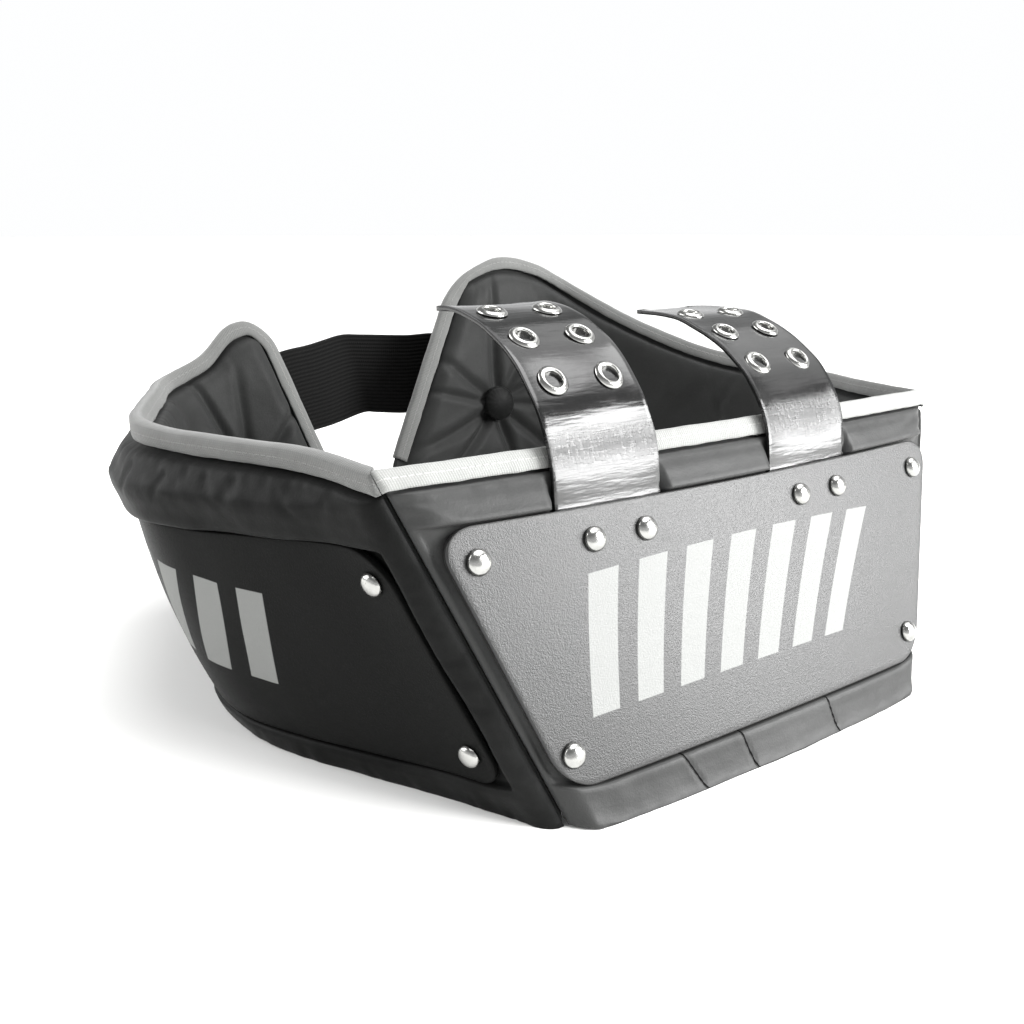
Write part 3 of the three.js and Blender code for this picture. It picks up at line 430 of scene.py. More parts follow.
def tapeFinish(name, pale):
    # woven binding tape with a line of stitches along each margin
    paint = Paint(name)
    x, y = paint.lay()
    rib = (x.wave(0.9) * 0.5 + 0.5) * (y.wave(0.8) * 0.25 + 0.75)
    dirt = ((paint.noise(18, 5, 0.7) - 0.42) * 2.4).clamped()
    offLine = ((y.op("ABSOLUTE") - 5.4).op("ABSOLUTE") / 0.42).op("MINIMUM", 1.0)
    stitch = (1 - offLine) * ((x / 2.6).part() > 0.22)
    soiled = (pale * 0.68, pale * 0.68, pale * 0.66)
    tone = paint.mix(dirt * 0.5, (pale, pale * 1.02, pale * 0.985), soiled)
    tone = paint.mix((1 - rib) * 0.3, tone, (0.09, 0.09, 0.086))
    tone = paint.mix(stitch, tone, (pale * 1.3, pale * 1.3, pale * 1.26))
    seam = stitch - (1 - offLine) * 0.6
    normal = paint.bump((paint.noise(7, 3), 0.8, 0.6), (rib, 0.14, 0.7), (seam, 0.4, 0.9))
    look = {"Base Color": tone, "Roughness": 0.82, "Sheen Weight": 0.2, "Normal": normal}
    return paint.shade(look)


def vinylFinish(name):
    # smoky glossy vinyl: streaks where it was rolled, and the haze of wear
    paint = Paint(name)
    x, y = paint.lay()
    drawn = lambda detail, rough, *where: paint.noise(1000, detail, rough, paint.along(*where))
    streak = drawn(5, 0.7, x * 0.05, y * 0.55)
    fold = drawn(3, 0.6, x * 0.03, y * 0.16, 4.0)
    haze = ((paint.noise(9, 5, 0.7) - 0.5) * 3).clamped()
    scratch = drawn(6, 0.8, x * 0.9, y * 0.12, 2.0)
    # fine cross hatching, in a band 19 mm above the plate
    hatch = drawn(3, 0.7, x * 0.7, y * 0.25, 7.0) * drawn(3, 0.7, x * 0.08, y * 1.3, 9.0)
    rolled = (1 - ((y - 19.0).op("ABSOLUTE") / 9.0)).clamped() * ((hatch - 0.14) * 7).clamped()
    tone = paint.mix(streak, (0.004, 0.0042, 0.0042), (0.008, 0.0082, 0.008))
    tone = paint.mix(haze * 0.25, tone, (0.035, 0.035, 0.034))
    return paint.shade({
        "Base Color": tone,
        "Roughness": (haze * 0.08 + scratch * 0.08 + 0.1 + rolled * 0.32).clamped(),
        "Specular IOR Level": 0.54,
        "Normal": paint.bump((fold, 0.35, 0.5), (streak, 0.07, 0.5), (rolled, 0.16, 0.5)),
    })


def elasticFinish(name):
    # knitted elastic with ribs along its length
    paint = Paint(name)
    x, y = paint.lay()
    rib = y.wave(2.1) * 0.5 + 0.5
    knit = x.wave(1.0) * 0.5 + 0.5
    lint = ((paint.noise(5, 5, 0.75) - 0.62) * 5).clamped()
    tone = paint.mix(rib, (0.003, 0.003, 0.003), (0.007, 0.007, 0.0068))
    tone = paint.mix(lint * 0.25, tone, (0.03, 0.03, 0.028))
    return paint.shade({
        "Base Color": tone,
        "Roughness": 0.8,
        "Specular IOR Level": 0.06,
        "Sheen Weight": 0.02,
        "Normal": paint.bump((rib, 0.25, 0.8), (knit * rib, 0.2, 0.7)),
    })


def nickelFinish(name, dark):
    # bright plated steel, a little hazy and pitted
    paint = Paint(name)
    haze = paint.noise(2.2, 5, 0.7)
    pit = ((paint.noise(0.8, 3, 0.6) - 0.62) * 8).clamped()
    tone = paint.mix(haze, (0.48, 0.48, 0.465), (0.3, 0.3, 0.29))
    tone = paint.mix(pit * dark, tone, (0.16, 0.15, 0.13))
    return paint.shade({
        "Base Color": tone,
        "Metallic": 1.0,
        "Roughness": (haze * 0.16 + 0.10 + pit * 0.2).clamped(),
        "Normal": paint.bump((haze, 0.12, 0.5)),
    })


# seams on the back's lower margin, as lengths along and up it in mm
channels = [
    (foot * back.length, -1, top * back.length, 16)
    for foot, top in ((0.29, 0.253), (0.43, 0.403), (0.685, 0.652))
]
# one nylon in two copies: the back pad's lighter tone and stronger shine are painted light for the
# lit back, the side pads' darker tone and weaker shine are painted shade for the flaps
nylon = nylonFinish("quilted_nylon", (0.005, 0.0052, 0.005), (0.026, 0.0265, 0.026), 0.5, 0.07)
litBackNylon = nylonFinish(
    "back_nylon_lit", (0.033, 0.0335, 0.033), (0.036, 0.0365, 0.036), 0.46, 0.2, channels
)
# one tape in two copies: the back's paler tone is painted light for the lit back, the sides' darker
# tone is painted shade
tape = tapeFinish("binding_tape", 0.12)
litBackTape = tapeFinish("back_binding_tape_lit", 0.29)
vinyl = vinylFinish("smoky_vinyl")
elastic = elasticFinish("ribbed_elastic")
nickel = nickelFinish("rivet_nickel", 0.5)
ringNickel = nickelFinish("eyelet_nickel", 0.3)
plateFinishes = {side: plateFinish(side) for side in art}
print("stage: materials made")

# plates' outlines, used by the pads too
plates = {
    "seat": 4.7,  # depth of the inner face
    "thick": 2.5,
    "corner": 13,
    "backInset": 3.5,
    "sideInset": 10,
    "sideEnd": 0.7,
    "backLow": 12.5,
    "backDrop": 20,
    "sideLowRear": 15,
    "sideLowFront": 7,
    "sideDrop": 25,
    "sideSag": 7,
    "edgeRound": 0.75,
    "pitch": 2.3,  # between mesh lines
}
asRun = lambda panel, length: length / panel.length
leftPlateRuns = (leftRun(plates["sideEnd"]), leftRun(asRun(left, plates["sideInset"])))
rightPlateRuns = (rightRun(asRun(right, plates["sideInset"])), rightRun(plates["sideEnd"]))
backPlateRuns = (asRun(back, plates["backInset"]), 1 - asRun(back, plates["backInset"]))


def backEdges(run):
    height = back.height(run)
    return plates["backLow"] / height, 1 - plates["backDrop"] / height


def sideEdges(panel, fromRear):
    def edges(run):
        height = panel.height(run)
        share = np.clip(fromRear(run) / plates["sideEnd"], 0, 1)
        low = plates["sideLowRear"] + (plates["sideLowFront"] - plates["sideLowRear"]) * share
        drop = plates["sideDrop"] + plates["sideSag"] * np.sin(np.pi * share)
        return low / height, 1 - drop / height

    return edges


leftEdges, rightEdges = sideEdges(left, leftRun), sideEdges(right, rightRun)

# straps' sizes; they press the back pad
straps = {
    "width": 44.5,
    "thick": 1.6,
    "centres": (-54, 46),
    "free": 112,
    "shown": 109,  # the free length that is drawn
    "tuck": 24,
    "corner": 9,
    "seat": 4.7 - 0.3 - 1.6,  # under the plate's inner face, 0.3 mm clear
    "segment": 5.6,  # straight pieces of the part's strap
    "lines": 27,  # across
    "step": 1.4,
    # share of the free length and lean from upright in degrees
    "left": [
        (0, 5), (0.12, 12), (0.2, 22), (0.38, 44), (0.56, 60), (0.74, 78), (0.86, 90), (1, 98),
    ],
    "right": [
        (0, 5), (0.12, 12), (0.2, 24), (0.25, 38), (0.38, 51), (0.56, 67), (0.74, 82), (0.86, 90),
        (1, 94),
    ],
}

pads = {
    "puffOut": 9.5,
    "puffIn": 9.0,
    "seamHalf": 1.2,
    "cornerPuff": 9,
    "gap": 0.3,
    "hem": 6.0,
    "topCorner": 16,
    "footCorner": 16,
    "seamLift": 5,
    "seamLiftRun": 24,
    "underPlate": 4.2,
    "pitch": 1.25,  # between mesh lines
    "tuftReach": 30,
    "tuftRise": 0.4,
    "leftTuft": 0.87,
    "rightTuft": 0.855,
    "flatRun": 8,
    "flatEase": 40,
    "flatOut": 0.74,
    # width of a swelling and its height
    "sideUneven": ((48, 0.36), (21, 0.14), (11, 0.04)),
    "backUneven": ((48, 0.16), (21, 0.06), (11, 0.04)),
    # where the straps hold the back pad down
    "heldHalf": 24.6,
    "heldBelow": 6,
    "heldDepth": 2.2,
    "heldLean": 0.16,
    # out, out of the back pad, rise, kind; a share of the puff, or of the rise between two lines
    "outline": [
        (0.2, 0.1, -0.02, ""),
        (0.80, 0.78, -0.036, ""),
        (0.9, 0.76, 0.008, ""),
        (0.92, 0.76, 0.05, ""),
        (0.84, 0.75, 1.1, "ledge"),
        (0.86, 0.8, 0, "pressed"),
        (0.92, 0.8, 0.34, "pressed"),
        (0.92, 0.8, 0.66, "pressed"),
        (0.86, 0.7, 1, "pressed"),
        (1.04, 0.74, 0.06, "roll"),
        (1.22, 0.68, 0.3, "roll"),
        (1.34, 0.6, 0.56, "roll"),
        (1.1, 0.5, 0.74, "roll"),
        (0.66, 0.4, 0.93, "roll"),
        (1, 1, 0.95, "hem"),
        (1, 1, 1, "sewn"),
        (-1, -1, 1, "sewn"),
        (-1, -1, 0.95, "hem"),
        (-0.72, -0.72, 0.92, ""),
        (-0.98, -0.98, 0.86, ""),
        (-1, -1, 0.66, ""),
        (-1, -1, 0.5, ""),
        (-1, -1, 0.36, ""),
        (-0.95, -0.95, 0.2, ""),
        (-0.7, -0.7, 0.03, ""),
        (-0.3, -0.3, -0.006, ""),
    ],
}
# each pad's panel, its plate's ends and edges, its open end and its tuft
sheets = {
    "back": (back, backPlateRuns, backEdges, None, None),
    "left": (left, leftPlateRuns, leftEdges, "start", leftRun(pads["leftTuft"])),
    "right": (right, rightPlateRuns, rightEdges, "end", rightRun(pads["rightTuft"])),
}


def swell(distance, flat=False):
    near = np.clip(distance / pads["cornerPuff"], 0, 1)
    return 1 - (1 - near) ** 2 if flat else np.sqrt(1 - (1 - near) ** 2)


def creases(a, b, lines):
    # sunk lines with a soft lip: start, end, width and depth in mm, fading towards their end
    total = np.zeros_like(a)
    for a0, b0, a1, b1, width, depth in lines:
        da, db = a1 - a0, b1 - b0
        s = np.clip(((a - a0) * da + (b - b0) * db) / max(da * da + db * db, 1e-9), 0, 1)
        x = np.hypot(a - a0 - s * da, b - b0 - s * db) / width
        total += depth * (1 - 0.8 * s**1.5) * (0.3 * np.exp(-((x / 2.3) ** 2)) - np.exp(-(x**2)))
    return total


def padPiece(side, seams, outerLines, innerLines, seed):
    panel, plateRuns, plateEdges, openEnd, tuft = sheets[side]
    spans = int(panel.length / pads["pitch"])
    ease = np.linspace(0, 1, spans)
    runs = ease - 0.10 * np.sin(2 * math.pi * ease) / (2 * math.pi)  # closer together at the ends
    height = panel.height(runs)
    fromStart, fromEnd = runs * panel.length, (1 - runs) * panel.length
    nearest = np.minimum(fromStart, fromEnd)
    free, toSeam = {"start": (fromStart, fromEnd), "end": (fromEnd, fromStart)}.get(
        openEnd, (np.full(spans, 1e9), nearest)
    )

    def rounded(radius):
        return radius - np.sqrt(np.maximum(radius**2 - np.maximum(radius - free, 0) ** 2, 0))

    lift = pads["seamLift"] * np.maximum(1 - toSeam / pads["seamLiftRun"], 0) ** 2
    low = (rounded(pads["footCorner"]) + lift) / height
    high = 1 - rounded(pads["topCorner"]) / height
    margin = asRun(panel, 1.0)
    within = np.minimum(runs - plateRuns[0] + 2.5 * margin, plateRuns[1] + 2.5 * margin - runs)
    inPlate = np.clip(within / (1.5 * margin), 0, 1)
    openRun = 0.0 if openEnd == "start" else 1.0
    ends = panel.sheet([openRun, openRun], [0, 1])
    lowEdge, highEdge = plateEdges(runs)
    press = 0.1 / height
    rises, depths = [], []
    for out, backOut, rise, kind in pads["outline"]:
        front = out < 0  # the wearer's side
        out = out if openEnd else backOut
        share = rise
        if kind == "ledge":  # mm below the plate's lower edge
            share = lowEdge - rise / height
        if kind == "pressed":
            share = (lowEdge - press) * (1 - rise) + (highEdge + press) * rise
        level = low + (high - low) * share
        if kind == "roll":  # between the plate's upper edge and the tape
            start = low + (high - low) * (highEdge + press)
            level = start + (high - pads["hem"] / height - start) * rise
        if kind == "hem":
            level = high - pads["hem"] / height
        if out > 0 and openEnd and kind not in ("hem", "sewn"):  # flatter towards the rear seam
            away = np.clip((toSeam - pads["flatRun"]) / pads["flatEase"], 0, 1)
            more = np.maximum(out - pads["flatOut"], 0) * away * away * (3 - 2 * away)
            out = np.minimum(out, pads["flatOut"]) + more
        rises.append(level + 0 * runs)
        if kind in ("hem", "sewn"):
            depths.append(out * pads["seamHalf"] + 0 * runs)
            continue
        if openEnd:
            point = panel.sheet(runs, level)
            axis = ends[1] - ends[0]
            s = np.clip(((point - ends[0]) @ axis) / (axis @ axis), 0, 1)
            toOpen = np.linalg.norm(point - ends[0] - s[:, None] * axis, axis=1)
            full = swell(np.minimum(toSeam, np.maximum(toOpen - pads["hem"], 0)))
            away = np.linalg.norm(point - panel.sheet(tuft, pads["tuftRise"]), axis=1)
            dent = 1 - 0.68 * np.exp(-4.5 * (away / pads["tuftReach"]) ** 2)
        else:
            full, dent = swell(nearest, out > 0), 1.0
        puff = out * (pads["puffIn"] if front else pads["puffOut"]) * dent
        if kind == "pressed":
            puff = puff * (1 - inPlate) + pads["underPlate"] * inPlate
        seam = pads["seamHalf"] * (-1 if front else 1)
        depths.append(seam + (puff - seam) * full)
    # a smooth closed line through the rows of each cross-section
    rows = np.stack([np.array(rises).T * height[:, None], np.array(depths).T], -1)
    count = rows.shape[1]
    around = []
    for j in range(count):
        near = [rows[:, (j + k) % count] for k in (-1, 0, 1, 2)]
        bend = span(*near, 1e-6)
        steps = max(3, int(np.linalg.norm(near[2] - near[1], axis=1).mean() / pads["pitch"]))
        around += [(bend(w), j + w) for w in np.arange(steps) / steps]
    section = np.stack([point for point, _ in around], 1)
    row = np.array([at for _, at in around])
    up, depth = section[..., 0], section[..., 1]
    along = np.repeat((runs * panel.length)[:, None], up.shape[1], 1)
    kinds = [line[3] for line in pads["outline"]]
    outerRows = sum(line[0] > 0 for line in pads["outline"])
    underRows = kinds.index("pressed"), kinds.index("roll")
    outerSide = (row < outerRows - 1)[None, :] * np.ones_like(up)
    sewn = np.clip(np.abs(np.abs(depth) - pads["seamHalf"]) / 3.0, 0, 1)
    # folds, and the slow unevenness of stuffed cloth
    rng = np.random.default_rng(seed)
    swellings = np.zeros_like(up)
    for size, amount in pads["sideUneven" if openEnd else "backUneven"]:
        for _ in range(6):
            turn, phase = rng.uniform(0, 2 * math.pi), rng.uniform(0, 2 * math.pi)
            wave = 2 * math.pi / (size * rng.uniform(0.8, 1.25))
            across = along * math.cos(turn) + up * math.sin(turn)
            swellings += amount / 2.4 * np.sin(wave * across + phase)
    pressed = (row > underRows[0] - 0.4) & (row < underRows[1] - 0.6)
    underPlate = pressed[None, :] * inPlate[:, None]
    outer = creases(along, up, outerLines) + swellings
    inner = creases(along, up, innerLines) + swellings
    shape = np.where(outerSide > 0, outer * (1 - underPlate), -inner)
    depth = depth + shape * sewn
    if not openEnd:  # the straps press the back pad above the plate
        widen = ring["backRimHalf"] - ring["backFootHalf"]
        x = (runs[:, None] - 0.5) * 2 * (ring["backFootHalf"] + widen * up / height[:, None])
        over = up - highEdge[:, None] * height[:, None]
        for centre in straps["centres"]:
            band = np.clip((pads["heldHalf"] - np.abs(x - centre)) / 2, 0, 1)
            band = band * band * (3 - 2 * band) * (over > -pads["heldBelow"])
            held = np.minimum(depth, pads["heldDepth"] + pads["heldLean"] * np.maximum(over, 0))
            depth = np.where(outerSide > 0, depth + (held - depth) * band, depth)
    points = panel.skin(runs[:, None] + 0 * up, up / height[:, None], depth)
    for point, normal, _ in seams:
        short = (points - point) @ normal
        points = points - np.minimum(short, 0)[..., None] * normal
    points[..., 2] = np.maximum(points[..., 2], 0.05)
    # the wearer's side is laid out a metre further up, so that the cloth can tell it and paint it
    # lighter, as painted light on the inner faces
    laid = np.where(outerSide > 0, up, up + 1000)
    laid = np.concatenate([laid, laid[:, -1:]], 1)
    uv = np.stack([np.repeat(along[:, :1], up.shape[1] + 1, 1), laid], -1)
    piece = gridPiece(side + "_quilt", points, uv)
    finishPiece(piece, nylon if openEnd else litBackNylon, "pads", side + "_pad")


def mitre(panel, run, other, otherRun, away):
    # the plane through a seam that two pads meet on
    line = panel.up(run)
    middle = panel.outward(run, 0.5) + other.outward(otherRun, 0.5)
    normal = unit(np.cross(line, middle)) * away
    return panel.sheet(run, 0.5) + normal * pads["gap"] / 2, normal, unit(middle)


def hemPuckers(rng, start, stop, top, depth, reach, pitch, slope=0.3):
    # short folds running down from a sewn edge
    lines, a = [], start
    while a < stop:
        long = reach * rng.uniform(0.5, 1.15)
        slant = rng.uniform(-slope, slope) * long
        width = rng.uniform(1.3, 2.2)
        lines.append((a, top(a), a + slant, top(a) - long, width, depth * rng.uniform(0.4, 1.0)))
        a += pitch * rng.uniform(0.55, 1.4)
    return lines


def tuftFolds(rng, panel, run, count, reach, depth):
    a0, b0 = run * panel.length, pads["tuftRise"] * float(panel.height(run))
    lines = []
    for k in range(count):
        turn = 2 * math.pi * (k + rng.uniform(-0.25, 0.25)) / count
        long = reach * rng.uniform(0.6, 1.1)
        bend = turn + rng.uniform(-0.12, 0.12)
        start = a0 + 7 * math.cos(turn), b0 + 7 * math.sin(turn)
        stop = a0 + long * math.cos(bend), b0 + long * math.sin(bend)
        lines.append((*start, *stop, rng.uniform(2.1, 3.9), depth * rng.uniform(0.6, 1.1)))
    return lines


def padLines():
    # the folds on both faces of each pad: start and end in mm along and up it, width, depth
    made = {}
    for side, inward, seed in (("left", -1, 7), ("right", 1, 12)):
        rng = random.Random(seed)
        panel, tuft = sheets[side][0], sheets[side][4]
        length = panel.length
        hemLine = lambda a: float(panel.height(a / length)) - pads["hem"]
        seamA = length if side == "left" else 0
        outer = hemPuckers(rng, 12, length - 12, hemLine, 0.9, 6, 9)
        a = 22
        while a < length - 16:  # the fold that the roll breaks over
            long = rng.uniform(16, 30)
            b = float(panel.height(a / length)) - rng.uniform(12.5, 14.5)
            outer.append((a, b, a + long, b + rng.uniform(-1.5, 1.5), 1.9, -rng.uniform(0.5, 0.9)))
            b += 3.6
            outer.append((a + 2, b, a + long, b + rng.uniform(-1, 1), 2, rng.uniform(0.3, 0.6)))
            a += long * rng.uniform(0.75, 1.0)
        crest = lambda a: float(panel.height(a / length)) - 11
        outer += hemPuckers(rng, 14, length - 14, crest, 1.5, 9, 21, 1.1)
        outer += hemPuckers(rng, 14, length - 14, lambda a: 2.0, 0.6, -10, 26)
        b = 8
        while b < 100:  # folds running off the seam
            stop = seamA + inward * 7, b + rng.uniform(-3, 3)
            outer.append((seamA + inward * 1.5, b, *stop, 1.1, rng.uniform(0.5, 1.0)))
            b += rng.uniform(5, 12)
        inner = tuftFolds(rng, panel, tuft, 10, 84, 4.8)
        inner += hemPuckers(rng, 12, length - 12, hemLine, 0.7, 15, 24)
        for _ in range(7):
            a, b = rng.uniform(20, length - 20), rng.uniform(15, 90)
            turn = rng.uniform(-0.6, 0.6) + math.pi / 2
            long = rng.uniform(15, 40)
            stop = a + long * math.cos(turn), b + long * math.sin(turn)
            inner.append((a, b, *stop, 2.4, rng.uniform(0.5, 1.1)))
        made[side] = (outer + tuftFolds(rng, panel, tuft, 11, 48, 1.5), inner)
    rng = random.Random(3)
    length = back.length
    hemLine = lambda a: float(back.height(a / length)) - pads["hem"]
    outer = [(*channel, 0.9, 0.9) for channel in channels]
    top = float(back.height(0.02))
    for k in range(6):  # gathers under the tape's corner, at both seams
        for end in (0, 1):
            a, b = 1.5 + 0.8 * k, top - 9 - 5.5 * k
            start, stop = (length - x if end else x for x in (a, a + rng.uniform(12, 20)))
            outer.append((start, b, stop, b - rng.uniform(2, 9), 1.8, rng.uniform(0.8, 1.5)))
    outer += hemPuckers(rng, 8, length - 8, hemLine, 0.6, 7, 10)
    inner = hemPuckers(rng, 8, length - 8, hemLine, 0.8, 16, 20)
    for _ in range(9):
        a, b = rng.uniform(15, length - 15), rng.uniform(15, 80)
        stop = a + rng.uniform(-12, 12), b + rng.uniform(12, 34)
        inner.append((a, b, *stop, 2.4, rng.uniform(0.5, 1.2)))
    made["back"] = (outer, inner)
    return made


lines = padLines()
seams = {
    "back": [mitre(back, 0, left, 1, 1), mitre(back, 1, right, 0, -1)],
    "left": [mitre(left, 1, back, 0, -1)],
    "right": [mitre(right, 0, back, 1, 1)],
}
for seed, side in enumerate(sheets, 21):
    padPiece(side, seams[side], *lines[side], seed)
print("stage: pads sewn")


def spacedLines(length, corner, pitch):
    # places from 0 to length, with one at each corner's start
    bend = np.linspace(0, corner, int(corner / pitch) + 1)
    flat = np.linspace(corner, length - corner, int((length - 2 * corner) / pitch) + 1)[1:-1]
    return np.concatenate([bend, flat, length - bend[::-1]])


def platePiece(side):
    panel, ends, edges = sheets[side][:3]
    corner, share = plates["corner"], 100.0  # a plate's height is cut in a hundred first
    length = (ends[1] - ends[0]) * panel.length
    u = spacedLines(length, corner, plates["pitch"])[:, None]
    rows = spacedLines(share, corner, plates["pitch"])[None, :]
    v = rows + 0 * u
    u = u + 0 * v
    # square corners are drawn in to round ones
    du, dv = np.minimum(u, length - u), np.minimum(v, share - v)
    px, py = np.clip(1 - du / corner, 0, 1), np.clip(1 - dv / corner, 0, 1)
    du = du + corner * px * (1 - np.sqrt(1 - py**2 / 2))
    dv = dv + corner * py * (1 - np.sqrt(1 - px**2 / 2))
    u = np.where(u < length / 2, du, length - du)
    runs = ends[0] + u / panel.length
    low, high = edges(runs)
    height = panel.height(runs)
    tall = (high - low) * height
    v = np.where(v < share / 2, dv, tall - dv)
    flat = corner + (rows - corner) / (share - 2 * corner) * (tall - 2 * corner)
    v = np.where(dv >= corner, flat, v)
    rises = low + v / height
    points = panel.skin(runs, rises, plates["seat"] + plates["thick"])
    uv = np.stack([runs * panel.length, rises * height], -1)
    piece = gridPiece(side + "_shell", points, uv, panel.outward((ends[0] + ends[1]) / 2, 0.5))
    thick = piece.modifiers.new("thick", "SOLIDIFY")
    thick.thickness, thick.offset = plates["thick"] * 0.001, -1
    bevelEdges(piece, plates["edgeRound"], 3)
    finishPiece(piece, plateFinishes[side], "plates", side + "_plate")


for side in sheets:
    platePiece(side)
print("stage: plates moulded")

binding = {
    "height": 5.3,
    "thick": 1.2,
    "inner": 1.55,
    "slot": 0.6,
    "flare": 0.7,
    "pitch": 1.4,
    "over": 5,  # past a seam, before it is cut on the mitre
    "corner": 3.0,  # how proud of the seam the two tapes meet
}


def bindingPath(panel, openEnd):
    # run, rise and the direction off the edge, along the rim and round and down the flap's end
    spans = int(panel.length / binding["pitch"])
    if not openEnd:
        return [(run, 1.0, 0.0, 1.0) for run in np.linspace(0, 1, spans)]
    height = float(panel.height(1.0 if openEnd == "end" else 0.0))
    top, foot = pads["topCorner"], pads["footCorner"]
    cornerRun = 1 - asRun(panel, top)
    path = [(run, 1.0, 0.0, 1.0) for run in np.linspace(0, cornerRun, spans)]
    for angle in np.linspace(0, math.pi / 2, 15)[1:]:
        across, up = math.sin(angle), math.cos(angle)
        path.append((1 - asRun(panel, top * (1 - across)), 1 - top * (1 - up) / height, across, up))
    spans = int((height - top - foot) / binding["pitch"])
    rises = np.linspace(1 - top / height, foot / height, spans)[1:]
    path += [(1.0, rise, 1.0, 0.0) for rise in rises]
    if openEnd == "end":
        return path
    return [(1 - run, rise, -a, u) for run, rise, a, u in path]


def bindingPiece(side, seams, seed):
    panel, openEnd = sheets[side][0], sheets[side][3]
    run, rise, alongOff, upOff = np.array(bindingPath(panel, openEnd)).T
    flare, tall, slot, thick = (binding[key] for key in ("flare", "height", "slot", "thick"))
    inner, outer = binding["inner"], binding["inner"] + thick
    half = [
        (inner + flare, -tall), (outer + flare - 0.25, -tall - 0.1), (outer + flare, -tall + 0.5),
        (outer + flare + 0.1, -tall * 0.75), (outer + flare, -tall / 2),
        (outer + flare * 0.55, -tall / 4), (outer, 0), (outer * 0.86, slot + thick * 0.5),
        (outer * 0.6, slot + thick * 0.85),
    ]
    section = half + [(0, slot + thick)] + [(-x, y) for x, y in half[::-1]]
    section = np.array(section + [(-inner, slot), (inner, slot)])
    n, e = section.T
    normal = panel.outward(run, rise)
    up = unit(panel.up(run))
    along = unit(np.cross(up, normal))
    off = unit(along * alongOff[:, None] + up * upOff[:, None])
    base = panel.skin(run, rise, 0)
    # run on past the seams, to be cut off on the mitre

    def extend(line, first, last):
        return np.concatenate([[first], line, [last]] if len(seams) > 1 else [[first], line])

    def past(end, before):
        step = along[end] @ (base[end] - base[before])
        return base[end] + along[end] * math.copysign(binding["over"], step)

    base = extend(base, past(0, 1), past(-1, -2))
    normal, off = extend(normal, normal[0], normal[-1]), extend(off, off[0], off[-1])
    walked = walkedAlong(base)
    rng = np.random.default_rng(seed)
    # hand-sewn tape wanders: its legs wave in and out and its lower edges up and down
    sway = np.zeros((2, len(walked)))
    for k in range(2):
        for size, amount in ((41, 0.3), (19, 0.18), (8, 0.06)):
            pitch = size * rng.uniform(0.8, 1.2)
            sway[k] += amount * np.sin(2 * math.pi * walked / pitch + rng.uniform(0, 6))
    legs = np.clip(-e / tall, 0, 1)
    sideways, down = sway[0][:, None], sway[1][:, None]
    nn = n[None, :] + np.sign(n)[None, :] * legs[None, :] * 0.45 * sideways
    ee = e[None, :] - legs[None, :] * 0.5 * np.abs(down) + 0.25 * down * (1 - legs[None, :])
    points = base[:, None, :] + normal[:, None, :] * nn[..., None] + off[:, None, :] * ee[..., None]
    heading = np.gradient(base, axis=0)
    for point, away, middle in seams:
        short = np.minimum((points - point) @ away, 0)
        points = points - (short / (heading @ away)[:, None])[..., None] * heading[:, None, :]
        proud = np.maximum((points - point) @ middle - binding["corner"], 0)
        points = points - proud[..., None] * middle
    across = walkedAlong(section)
    across = across - across[len(half)]  # from the middle of the fold
    across = np.append(across, across[-1])
    uv = np.stack(np.broadcast_arrays(walked[:, None], across[None, :]), -1)
    piece = gridPiece(side + "_tape", points, uv)
    finishPiece(piece, tape if openEnd else litBackTape, "bindings", side + "_binding")


for side, seed in (("back", 5), ("left", 6), ("right", 8)):
    bindingPiece(side, seams[side], seed)
print("stage: tape sewn on")


def strapPath(rows):
    # length from the plate's edge, y, z and lean along the middle of a strap
    edge = back.up(0.5)
    seated = math.atan2(edge[1], edge[2])
    shares, leans = np.array(rows, float).T
    long = straps["segment"]
    points = [(0.0, 0.0, 0.0, seated)]
    s = long
    while s <= straps["free"] + 1e-6:
        lean = math.radians(np.interp((s - long / 2) / straps["free"], shares, leans))
        last = points[-1]
        points.append((s, last[1] + long * math.sin(lean), last[2] + long * math.cos(lean), lean))
        s += long
    for s in (-straps["tuck"] / 2, -straps["tuck"]):
        points.insert(0, (s, s * math.sin(seated), s * math.cos(seated), seated))
    points = np.array(points)
    # the same line, smoothed to short steps
    fine = np.arange(-straps["tuck"], points[-1, 0] + 0.1, straps["step"])
    kernel = np.hanning(9)
    smooth = [fine]
    for k in (1, 2, 3):
        line = np.interp(fine, points[:, 0], points[:, k])
        padded = np.concatenate([2 * line[0] - line[4:0:-1], line, 2 * line[-1] - line[-2:-6:-1]])
        smooth.append(np.convolve(padded, kernel / kernel.sum(), "valid"))
    return np.array(smooth)


def backRunAt(x, rise):
    half = ring["backFootHalf"] + (ring["backRimHalf"] - ring["backFootHalf"]) * rise
    return 0.5 + x / (2 * half)


def onStrap(path, x, s, depth):
    high = backEdges(0.5)[1]
    x, s, depth = np.broadcast_arrays(*(np.asarray(value, float) for value in (x, s, depth)))
    start = back.skin(backRunAt(x, high), high, straps["seat"] + straps["thick"] / 2)
    y, z, lean = (np.interp(s, path[0], path[k]) for k in (1, 2, 3))
    return start + np.stack([0 * y, y - depth * np.cos(lean), z + depth * np.sin(lean)], -1)


